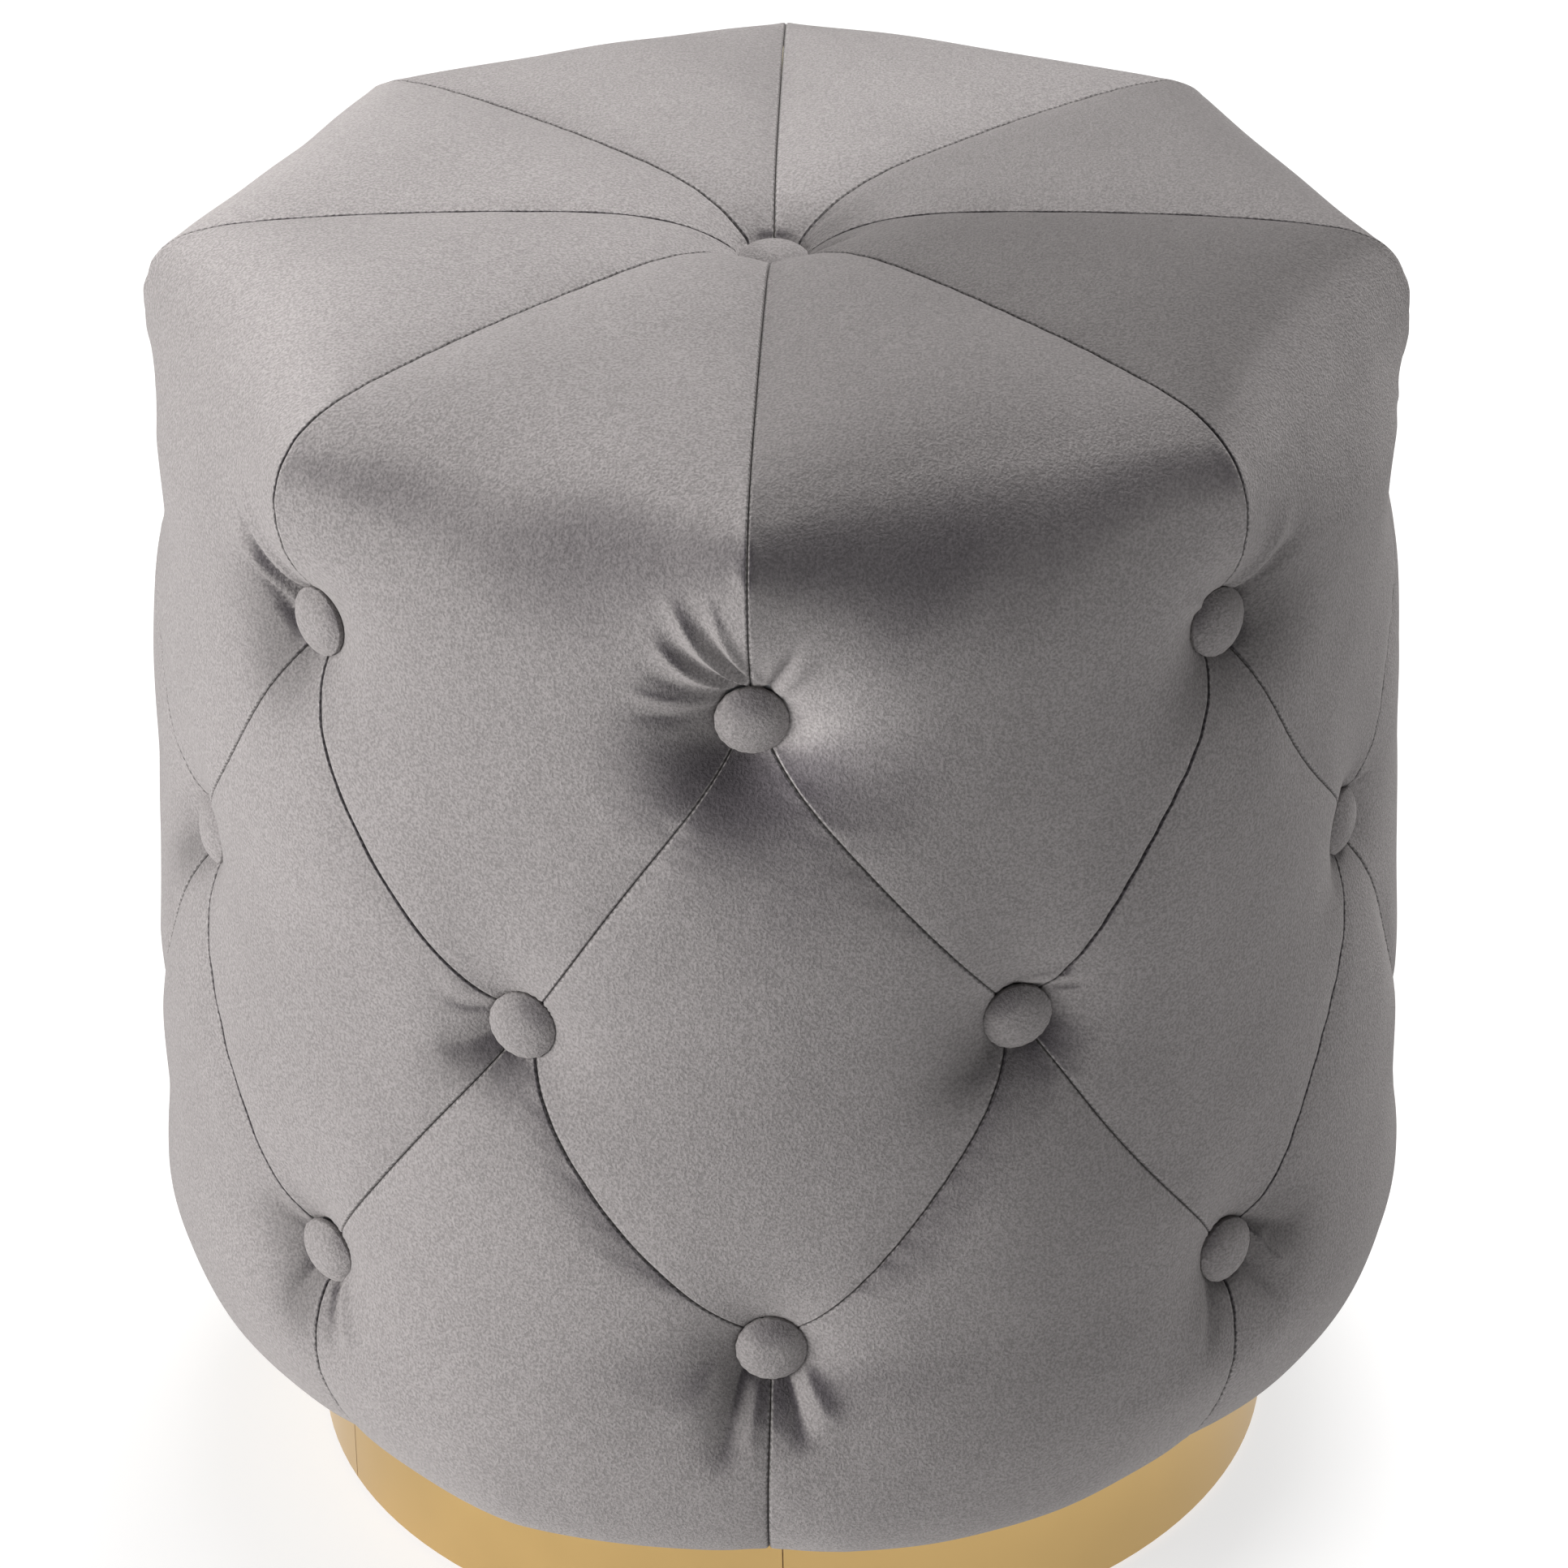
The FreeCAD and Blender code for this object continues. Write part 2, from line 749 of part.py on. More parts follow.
def save_plinth():
    save("plinth_hoop", [plinth_tube(hoop_radius, hoop_inner)])
    save("plinth_band", plinth_band())
    save("plinth_cleats", plinth_cleats())
    save("plinth_screws", plinth_screws())
    save("floor_glides", floor_glides())
    save("dust_cover", [dust_cover()])
    save("cover_staples", cover_staples())
    save("hem_staples", hem_staples())


os.makedirs("parts", exist_ok=True)
save_panels()
save_padding()
save_buttons()
save_frame()
save_plinth()
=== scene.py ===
"""A round, button-tufted pouf in grey velvet on a gold-clad plinth.

Azimuths are in radians, 0 at the front (towards -Y) and growing towards +X. Sizes of the
sub-assemblies are in millimetres; their meshes are written in metres.
"""

import logging
import math
import random
from dataclasses import dataclass, field, replace
from enum import Enum

import bmesh
import bpy
import numpy as np
from mathutils import Matrix, Vector


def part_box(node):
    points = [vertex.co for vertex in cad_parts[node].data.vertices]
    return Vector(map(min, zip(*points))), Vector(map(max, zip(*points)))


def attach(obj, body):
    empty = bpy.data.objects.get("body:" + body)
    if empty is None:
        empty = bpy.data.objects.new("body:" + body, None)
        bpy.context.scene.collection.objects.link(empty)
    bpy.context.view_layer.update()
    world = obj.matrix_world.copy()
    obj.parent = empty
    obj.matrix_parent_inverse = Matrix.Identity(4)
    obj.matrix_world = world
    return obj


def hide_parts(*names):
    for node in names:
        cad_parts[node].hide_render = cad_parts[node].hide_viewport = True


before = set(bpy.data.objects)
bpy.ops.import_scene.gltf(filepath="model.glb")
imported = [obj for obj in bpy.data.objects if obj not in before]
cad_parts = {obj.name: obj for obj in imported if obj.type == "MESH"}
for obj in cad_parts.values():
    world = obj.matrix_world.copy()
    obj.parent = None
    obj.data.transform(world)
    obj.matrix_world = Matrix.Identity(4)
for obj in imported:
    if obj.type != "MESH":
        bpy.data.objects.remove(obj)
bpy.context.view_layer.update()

log = logging.getLogger("pouf")
MM = 0.001
PANELS = 8
PITCH = math.tau / PANELS
HALF_PITCH = PITCH / 2
BODY = "root"

Colour = tuple[float, float, float, float]
Pairs = tuple[tuple[float, float], ...]
Socket = bpy.types.NodeSocket


def polar(azimuth: np.ndarray, radius: np.ndarray, height: np.ndarray) -> np.ndarray:
    """Points at azimuths, distances from the axis and heights."""
    azimuth, radius, height = np.broadcast_arrays(azimuth, radius, height)
    return np.stack([radius * np.sin(azimuth), -radius * np.cos(azimuth), height], -1)


def outward(azimuth: np.ndarray, lean: np.ndarray) -> np.ndarray:
    """Unit vectors that lean up from the horizontal at azimuths."""
    azimuth, lean = np.broadcast_arrays(azimuth, lean)
    level = np.cos(lean)
    return np.stack([level * np.sin(azimuth), -level * np.cos(azimuth), np.sin(lean)], -1)


def blend(start: np.ndarray, end: np.ndarray, share: np.ndarray) -> np.ndarray:
    """The value at a share of the way from start to end."""
    return start + (end - start) * share


def ease(share: np.ndarray) -> np.ndarray:
    """A share held between 0 and 1, with soft ends."""
    share = np.clip(share, 0.0, 1.0)
    return share * share * (3.0 - 2.0 * share)


def fade(value: np.ndarray, start: float, length: float) -> np.ndarray:
    """0 up to a start, 1 from a length beyond it on, and soft in between."""
    return ease((value - start) / length)


def half_turn(angle: np.ndarray) -> np.ndarray:
    """An angle brought within half a turn of zero."""
    return (angle + math.pi) % math.tau - math.pi


def travelled(steps: np.ndarray) -> np.ndarray:
    """How far along a line each of its places lies, by the steps between them."""
    return np.concatenate([[0.0], np.cumsum(steps)])


def evened(values: np.ndarray) -> np.ndarray:
    """Values evened out from row to row, with the first and last row as they were."""
    even = values.copy()
    even[1:-1] = (values[:-2] + 2.0 * values[1:-1] + values[2:]) / 4.0
    return even


def spline(knots: np.ndarray, places: np.ndarray, where: np.ndarray) -> np.ndarray:
    """A smooth line through places, read at some of its distances.

    Args:
        knots: the distance along the line at which each place lies.
        places: one row for each place.
        where: the distances to read the line at.

    Returns:
        One row for each distance.
    """
    steps = np.diff(knots)[:, None]
    slopes = np.diff(places, axis=0) / steps
    inner = (slopes[:-1] * steps[1:] + slopes[1:] * steps[:-1]) / (steps[1:] + steps[:-1])
    tangents = np.vstack([slopes[:1], inner, slopes[-1:]])
    span = np.clip(np.searchsorted(knots, where, side="right") - 1, 0, len(knots) - 2)
    length = steps[span]
    t = ((where - knots[span]) / length[:, 0])[:, None]
    start = (2 * t**3 - 3 * t**2 + 1) * places[span] + (t**3 - 2 * t**2 + t) * length * tangents[span]
    end = (3 * t**2 - 2 * t**3) * places[span + 1] + (t**3 - t**2) * length * tangents[span + 1]
    return start + end


def reach_of(node: str) -> float:
    """How far a node of the frame stands from the axis, in millimetres."""
    places = np.array([vertex.co[:2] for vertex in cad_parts[node].data.vertices])
    return float(np.hypot(places[:, 0], places[:, 1]).max()) / MM


def heights_of(node: str) -> tuple[float, float]:
    """The lowest and highest level of a node of the frame, in millimetres."""
    low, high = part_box(node)
    return low.z / MM, high.z / MM


def dress(mesh: bpy.types.Mesh, material: bpy.types.Material) -> None:
    """Gives a mesh one finish."""
    mesh.materials.clear()
    mesh.materials.append(material)


def placed(name: str, data: bpy.types.ID) -> bpy.types.Object:
    """Adds an object with its data to the scene."""
    made = bpy.data.objects.new(name, data)
    bpy.context.scene.collection.objects.link(made)
    return made


def as_mesh(bm: bmesh.types.BMesh, name: str) -> bpy.types.Mesh:
    """Turns a bmesh into a mesh, and frees it."""
    mesh = bpy.data.meshes.new(name)
    bm.to_mesh(mesh)
    bm.free()
    return mesh


def laid_mesh(name: str, grids: list[np.ndarray]) -> bpy.types.Mesh:
    """One mesh in metres of grids of points in millimetres."""
    bm = bmesh.new()
    for grid in grids:
        bmesh.ops.create_grid(bm, x_segments=grid.shape[1] - 1, y_segments=grid.shape[0] - 1, size=1.0)
    mesh = as_mesh(bm, name)
    flat = np.concatenate([grid.reshape(-1, 3) for grid in grids])
    mesh.vertices.foreach_set("co", (flat * MM).astype(np.float32).ravel())
    mesh.update()
    return mesh


def piece(name: str, mesh: bpy.types.Mesh, material: bpy.types.Material) -> bpy.types.Object:
    """Adds a finished mesh to the pouf.

    Args:
        name: the piece's name.
        mesh: its mesh, in place and in metres.
        material: its finish.

    Returns:
        The new object, riding on the pouf.
    """
    mesh.name = name
    dress(mesh, material)
    made = placed(name, mesh)
    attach(made, BODY)
    return made


def finished(bm: bmesh.types.BMesh, smooth: bool = True) -> bpy.types.Mesh:
    """Turns a bmesh in millimetres into a mesh in metres, and frees it."""
    bmesh.ops.scale(bm, vec=(MM, MM, MM), verts=bm.verts)
    for face in bm.faces:
        face.smooth = smooth
    return as_mesh(bm, "piece")


def turned_profile(profile: list[tuple[float, float]], steps: int, axis: Vector) -> bmesh.types.BMesh:
    """Spins an open outline a full turn.

    Args:
        profile: distances from the axis and places along it, from one end to the other.
        steps: how many segments the turn has.
        axis: the axis that it turns about, Z or X.

    Returns:
        A closed bmesh whose faces point outwards.
    """
    bm = bmesh.new()
    side = Vector((1, 0, 0)) if axis.z else Vector((0, 0, 1))
    chain = [bm.verts.new(side * radius + axis * along) for radius, along in profile]
    edges = [bm.edges.new(pair) for pair in zip(chain, chain[1:])]
    outline = chain + edges
    bmesh.ops.spin(bm, geom=outline, cent=(0, 0, 0), axis=axis, angle=math.tau, steps=steps, use_merge=True)
    bmesh.ops.remove_doubles(bm, verts=bm.verts, dist=1e-4)
    bmesh.ops.recalc_face_normals(bm, faces=bm.faces)
    return bm


class Graph:
    """A material's nodes, with short ways to add and join them."""

    def __init__(self, name: str) -> None:
        """Starts a material that has one surface shader."""
        self.material = bpy.data.materials.new(name)
        self.material.use_nodes = True
        self.tree = self.material.node_tree
        self.shader = self.tree.nodes["Principled BSDF"]

    def add(self, kind: str, inputs: dict | None = None, **settings: object) -> bpy.types.Node:
        """Adds a node.

        Args:
            kind: the node's type without its ShaderNode prefix.
            inputs: sockets by name or number, each with a value or another socket.
            settings: the node's own properties.

        Returns:
            The new node.
        """
        node = self.tree.nodes.new("ShaderNode" + kind)
        for key, value in settings.items():
            setattr(node, key, value)
        self.fill(node, inputs or {})
        return node

    def fill(self, node: bpy.types.Node, inputs: dict) -> None:
        """Sets or joins a node's sockets."""
        for key, value in inputs.items():
            if isinstance(value, Socket):
                self.tree.links.new(value, node.inputs[key])
            else:
                node.inputs[key].default_value = value

    def surface(self, **inputs: object) -> bpy.types.Material:
        """Sets the shader's sockets, with _ for a space, and returns the material."""
        self.fill(self.shader, {key.replace("_", " "): value for key, value in inputs.items()})
        return self.material

    def place(self) -> Socket:
        """Where a point lies on the object, in metres."""
        return self.add("TexCoord").outputs["Object"]

    def noise(self, where: Socket, scale: float, detail: float = 2.0, rough: float = 0.5) -> Socket:
        """A noise between 0 and 1 with features of about 1/scale metres."""
        inputs = {"Vector": where, "Scale": scale, "Detail": detail, "Roughness": rough}
        return self.add("TexNoise", inputs).outputs["Fac"]

    def math(self, how: str, first: object, second: object = 0.0) -> Socket:
        """One step of arithmetic."""
        return self.add("Math", {0: first, 1: second}, operation=how).outputs[0]

    def times(self, first: object, second: object) -> Socket:
        """A product."""
        return self.math("MULTIPLY", first, second)

    def attribute(self, name: str, output: str = "Fac") -> Socket:
        """What the mesh holds at each point under a name."""
        return self.add("Attribute", attribute_name=name).outputs[output]

    def remap(
        self, value: Socket, low: float, high: float, to_low: float = 0.0, to_high: float = 1.0
    ) -> Socket:
        """A value moved softly from one range to another, and held there."""
        inputs = {"Value": value, "From Min": low, "From Max": high, "To Min": to_low, "To Max": to_high}
        return self.add("MapRange", inputs, interpolation_type="SMOOTHSTEP").outputs["Result"]

    def mix(self, share: object, first: object, second: object, how: str = "MIX") -> Socket:
        """Two colours mixed."""
        node = self.add("Mix", data_type="RGBA", blend_type=how)
        self.fill(node, {0: share, 6: first, 7: second})
        return node.outputs[2]

    def tinted(self, colour: object, tone: Socket) -> Socket:
        """A colour made lighter or darker by a tone."""
        tint = self.add("CombineColor", {0: tone, 1: tone, 2: tone}).outputs[0]
        return self.mix(1.0, colour, tint, "MULTIPLY")

    def bump(self, height: Socket, distance: float, strength: float = 1.0, normal: object = None) -> Socket:
        """Relief of some height in metres."""
        inputs = {"Height": height, "Distance": distance, "Strength": strength}
        if normal is not None:
            inputs["Normal"] = normal
        return self.add("Bump", inputs).outputs["Normal"]


def shade(red: float, green: float, blue: float) -> Colour:
    """A linear colour from display values of 0 to 255."""
    return tuple((value / 255.0) ** 2.2 for value in (red, green, blue)) + (1.0,)


@dataclass(frozen=True)
class VelvetFinish:
    """Short-pile velvet with a painted sheen: deep where it is seen down into the pile, pale where it is seen
    along it.

    nap is whether the piece has a nap and seams, and nap_lean how far the pile leans along the
    panel. bloom holds the two values of facing between which the deep tone gives way to the pale
    one, a sheen painted into the colour. grain, ruffle, cloud and tuft are noise scales for the
    pile, its brushed waves, slow changes of tone and loose tufts at the seams. seam_tone is how
    dark the painted shade along a seam's line is. Depths, stitch and the seam's widths are in
    metres, and tones are factors on the colour.
    """

    name: str
    deep: Colour
    pale: Colour
    nap: bool = True
    nap_lean: float = 0.15
    bloom: tuple[float, float] = (0.0, 0.16)
    grain: float = 1150.0
    grain_depth: float = 0.00045
    grain_tones: tuple[float, float] = (0.78, 1.2)
    ruffle: float = 55.0
    ruffle_depth: float = 0.0012
    cloud: float = 9.0
    cloud_tones: tuple[float, float] = (0.94, 1.05)
    tuft: float = 800.0
    tuft_reach: float = 0.0016
    stitch: float = 0.0024
    stitch_reach: float = 0.00022
    seam_line: tuple[float, float] = (0.0001, 0.0005)
    seam_tone: float = 0.4
    crest_width: float = 0.0016
    crest_gain: tuple[float, float] = (-0.08, 0.3)
    roughness: float = 0.9
    specular: float = 0.08
    sheen: float = 0.25
    sheen_roughness: float = 0.5
    sheen_tint: Colour = shade(238, 232, 230)

    def pile(self, graph: Graph) -> Socket:
        """The surface's direction, leaned along the nap."""
        normal = graph.add("NewGeometry").outputs["Normal"]
        if not self.nap:
            return normal
        lean = graph.add("VectorMath", {0: graph.attribute("nap", "Vector")}, operation="SCALE")
        lean.inputs["Scale"].default_value = self.nap_lean
        added = graph.add("VectorMath", {0: normal, 1: lean.outputs[0]}, operation="ADD").outputs[0]
        return graph.add("VectorMath", {0: added}, operation="NORMALIZE").outputs[0]

    def painted_seam_shade(self, graph: Graph, where: Socket) -> Socket:
        """How the tone changes at a seam: painted shade along its line, where the stitches draw it in, and
        paler tufts on its crest.
        """
        gap = graph.attribute("seam")
        beat = graph.math("SINE", graph.times(graph.attribute("along"), math.tau / self.stitch))
        tuft = graph.noise(where, self.tuft, 2.0, 0.65)
        ragged = graph.times(graph.math("SUBTRACT", tuft, 0.5), self.tuft_reach)
        reach = graph.math("ADD", ragged, graph.times(beat, self.stitch_reach))
        dark = graph.remap(graph.math("SUBTRACT", gap, reach), *self.seam_line, self.seam_tone, 1.0)
        near = graph.remap(gap, self.seam_line[1], self.crest_width, 1.0, 0.0)
        crest = graph.times(near, graph.remap(tuft, 0.4, 0.65, *self.crest_gain))
        return graph.times(dark, graph.math("ADD", crest, 1.0))

    def material(self) -> bpy.types.Material:
        """Builds the finish."""
        graph = Graph(self.name)
        where = graph.place()
        ruffled = graph.noise(where, self.ruffle, 3.0, 0.6)
        brushed = graph.bump(ruffled, self.ruffle_depth, 0.5, self.pile(graph))
        tips = graph.bump(ruffled, self.ruffle_depth, 0.2)
        # Painted sheen: the colour runs from the deep tone, seen face on, to the pale one, seen at a slant.
        facing = graph.add("LayerWeight", {"Blend": 0.5, "Normal": tips}).outputs["Facing"]
        colour = graph.mix(graph.remap(facing, *self.bloom), self.deep, self.pale)
        cloud = graph.remap(graph.noise(where, self.cloud, 3.0, 0.55), 0.3, 0.7, *self.cloud_tones)
        grain = graph.noise(where, self.grain, 2.0, 0.6)
        tone = graph.times(cloud, graph.remap(grain, 0.32, 0.68, *self.grain_tones))
        if self.nap:
            # Painted shade along the seam lines.
            tone = graph.times(tone, self.painted_seam_shade(graph, where))
            # The mesh's tone holds painted light and shade: the petals' tones on top and the patches beside
            # the buttons.
            tone = graph.times(tone, graph.attribute("tone"))
        return graph.surface(
            Base_Color=graph.tinted(colour, tone),
            Roughness=self.roughness,
            Specular_IOR_Level=self.specular,
            Sheen_Weight=self.sheen,
            Sheen_Roughness=self.sheen_roughness,
            Sheen_Tint=self.sheen_tint,
            Normal=graph.bump(grain, self.grain_depth, 1.0, brushed),
        )


@dataclass(frozen=True)
class MetalFinish:
    """Satin or bright metal with a faint brushed grain.

    grain and smudge are noise scales. stretch is how much finer the grain is upwards than round,
    and smudge_gloss and smudge_tones how smudges change the roughness and the colour.
    """

    name: str
    colour: Colour
    roughness: float
    grain: float = 240.0
    grain_depth: float = 0.00004
    stretch: float = 14.0
    smudge: float = 18.0
    smudge_gloss: tuple[float, float] = (-0.04, 0.05)
    smudge_tones: tuple[float, float] = (0.93, 1.05)

    def material(self) -> bpy.types.Material:
        """Builds the finish."""
        graph = Graph(self.name)
        where = graph.place()
        stretched = graph.add("Mapping", {"Vector": where, "Scale": (1.0, 1.0, self.stretch)}).outputs[0]
        brushed = graph.noise(stretched, self.grain, 3.0, 0.6)
        smudge = graph.noise(where, self.smudge, 2.0, 0.5)
        gloss = [self.roughness + change for change in self.smudge_gloss]
        return graph.surface(
            Base_Color=graph.tinted(self.colour, graph.remap(smudge, 0.2, 0.8, *self.smudge_tones)),
            Metallic=1.0,
            Roughness=graph.remap(smudge, 0.25, 0.75, *gloss),
            Normal=graph.bump(brushed, self.grain_depth, 0.6),
        )


@dataclass(frozen=True)
class WoodFinish:
    """Sawn wood or board, with its grain along one way.

    stretch is how much finer the grain is along each axis, and layers how far apart a board's
    layers are, in metres. figure and fibre are noise scales, and the shares say how much of the
    deep tone the fibres and the layers take.
    """

    name: str
    pale: Colour
    deep: Colour
    stretch: tuple[float, float, float]
    layers: float = 0.0
    figure: float = 14.0
    fibre: float = 160.0
    fibre_share: float = 0.35
    layer_share: float = 0.25
    relief: float = 0.0002
    roughness: float = 0.68

    def material(self) -> bpy.types.Material:
        """Builds the finish."""
        graph = Graph(self.name)
        where = graph.place()
        along = graph.add("Mapping", {"Vector": where, "Scale": self.stretch}).outputs[0]
        figure = graph.noise(along, self.figure, 5.0, 0.62)
        fibre = graph.noise(along, self.fibre, 3.0, 0.6)
        colour = graph.mix(graph.remap(figure, 0.3, 0.7), self.deep, self.pale)
        colour = graph.mix(graph.remap(fibre, 0.35, 0.75, 0.0, self.fibre_share), colour, self.deep)
        if self.layers:
            height = graph.add("SeparateXYZ", {0: where}).outputs[2]
            ply = graph.math("SINE", graph.times(height, math.tau / self.layers))
            colour = graph.mix(graph.remap(ply, 0.2, 0.9, 0.0, self.layer_share), colour, self.deep)
        return graph.surface(
            Base_Color=colour,
            Roughness=self.roughness,
            Normal=graph.bump(fibre, self.relief, 0.5),
        )


@dataclass(frozen=True)
class ClothFinish:
    """Felt, non-woven cloth, wadding, foam or twine: a matt fibrous or cellular surface."""

    name: str
    colour: Colour
    scale: float
    depth: float
    cells: bool = False
    tones: tuple[float, float] = (0.72, 1.12)
    roughness: float = 0.92
    sheen: float = 0.15

    def material(self) -> bpy.types.Material:
        """Builds the finish."""
        graph = Graph(self.name)
        where = graph.place()
        if self.cells:
            relief = graph.add("TexVoronoi", {"Vector": where, "Scale": self.scale}).outputs["Distance"]
        else:
            relief = graph.noise(where, self.scale, 4.0, 0.65)
        return graph.surface(
            Base_Color=graph.tinted(self.colour, graph.remap(relief, 0.2, 0.8, *self.tones)),
            Roughness=self.roughness,
            Sheen_Weight=self.sheen,
            Normal=graph.bump(relief, self.depth, 0.8),
        )


class Band(Enum):
    """The two rings of diagonal seams."""

    UPPER = "upper"
    LOWER = "lower"


@dataclass(frozen=True)
class Button:
    """A place where a button pulls the cover in.

    azimuth, radius and height are those of the cover there if it weren't pulled in. edge_depth is
    how far the cover is sunk at the button's edge, and seat_depth how far under the button.
    """

    azimuth: float
    radius: float
    height: float
    edge_depth: float
    seat_depth: float
    spread: float
    edge: float = 11.6
    tuck: float = 2.4

    def place(self) -> np.ndarray:
        """The button's place on the cover before it is pulled in."""
        return polar(np.array(self.azimuth), np.array(self.radius), np.array(self.height))

    def depth(self, points: np.ndarray) -> np.ndarray:
        """How far the button pulls each point in."""
        away = np.linalg.norm(points - self.place(), axis=-1)
        slope = self.edge_depth * np.exp(-np.maximum(away - self.edge, 0.0) / self.spread)
        return slope + (self.seat_depth - self.edge_depth) * ease((self.edge - away) / self.tuck)


@dataclass(frozen=True)
class Diagonal:
    """A seam from a button down to one in the next row. bow is how far it hangs, in its middle."""

    upper: Button
    lower: Button
    bow: float

    def at(self, share: np.ndarray) -> np.ndarray:
        """Azimuth, radius and height at shares of the way down the seam."""
        turn = self.lower.azimuth - self.upper.azimuth
        fall = self.lower.height - self.upper.height
        radius = blend(self.upper.radius, self.lower.radius, share)
        arc = turn * (self.upper.radius + self.lower.radius) / 2
        length = math.hypot(arc, fall)
        hang = self.bow * np.sin(math.pi * share)
        across = math.copysign(fall / length, fall * arc)
        azimuth = self.upper.azimuth + turn * share + hang * across / radius
        height = self.upper.height + fall * share - hang * abs(arc) / length
        return np.stack([azimuth, radius, height], -1)


@dataclass
class Rows:
    """The level lines that a panel is laid out on, from its lower end to its upper end.

    left, right and crown hold an azimuth, radius and height for each row. lean is the surface's
    upward lean at the seams and in the middle. valley is a seam's depth and its width, and
    slant how much nearer a slanting seam is than it looks along a row. tone is how light the
    panel's velvet looks on top: partly by the way that its nap was cut, partly painted light and
    shade, mostly lighter for the petals on the left and darker for those on the right.
    """

    left: np.ndarray
    right: np.ndarray
    crown: np.ndarray
    lean: np.ndarray
    valley: np.ndarray
    slant: np.ndarray
    tone: float = 1.0

    def picked(self, pick: object) -> "Rows":
        """Some of these rows, or all in another order."""
        arrays = [values[pick] for values in vars(self).values() if isinstance(values, np.ndarray)]
        return Rows(*arrays, tone=self.tone)

    def joined(self, other: "Rows") -> "Rows":
        """These rows with others above them."""
        both = list(zip(vars(self).values(), vars(other).values()))
        return Rows(*(np.concatenate(pair) for pair in both[:-1]), tone=self.tone)


# How a fold runs: its width at the start and how much it gains, where it rises and where it
# dies away as shares of its length, and the power that rounds its crest.
FOLD_WIDENING = (0.75, 0.6)
FOLD_RISE = (-0.25, 0.3)
FOLD_FALL = (0.45, 0.6)
FOLD_POWER = 1.6


@dataclass(frozen=True)
class Fold:
    """A ridge or, with a negative height, a crease in the cover beside a button.

    start and end are places beside the button, to its right and up, and bow is how far the
    fold is bent in its middle, all in millimetres.
    """

    start: tuple[float, float]
    end: tuple[float, float]
    height: float
    width: float
    bow: float = 0.0

    def varied(self, flip: float, size: float) -> "Fold":
        """This fold mirrored, or not, and made longer and higher, or shorter and lower."""
        start = (self.start[0] * flip, self.start[1])
        end = (self.end[0] * flip * size, self.end[1] * size)
        return Fold(start, end, self.height * size, self.width, self.bow * flip)

    def at(self, right: np.ndarray, up: np.ndarray) -> np.ndarray:
        """How far the fold lifts the cover at places beside the button."""
        run = np.subtract(self.end, self.start)
        length = float(np.hypot(*run))
        along = ((right - self.start[0]) * run[0] + (up - self.start[1]) * run[1]) / length**2
        across = ((up - self.start[1]) * run[0] - (right - self.start[0]) * run[1]) / length
        across = across - self.bow * 4.0 * along * (1.0 - along)
        width = self.width * (FOLD_WIDENING[0] + FOLD_WIDENING[1] * np.clip(along, 0.0, 1.0))
        strength = fade(along, *FOLD_RISE) * (1.0 - fade(along, *FOLD_FALL))
        return self.height * strength * np.exp(-np.abs(across / width) ** FOLD_POWER)


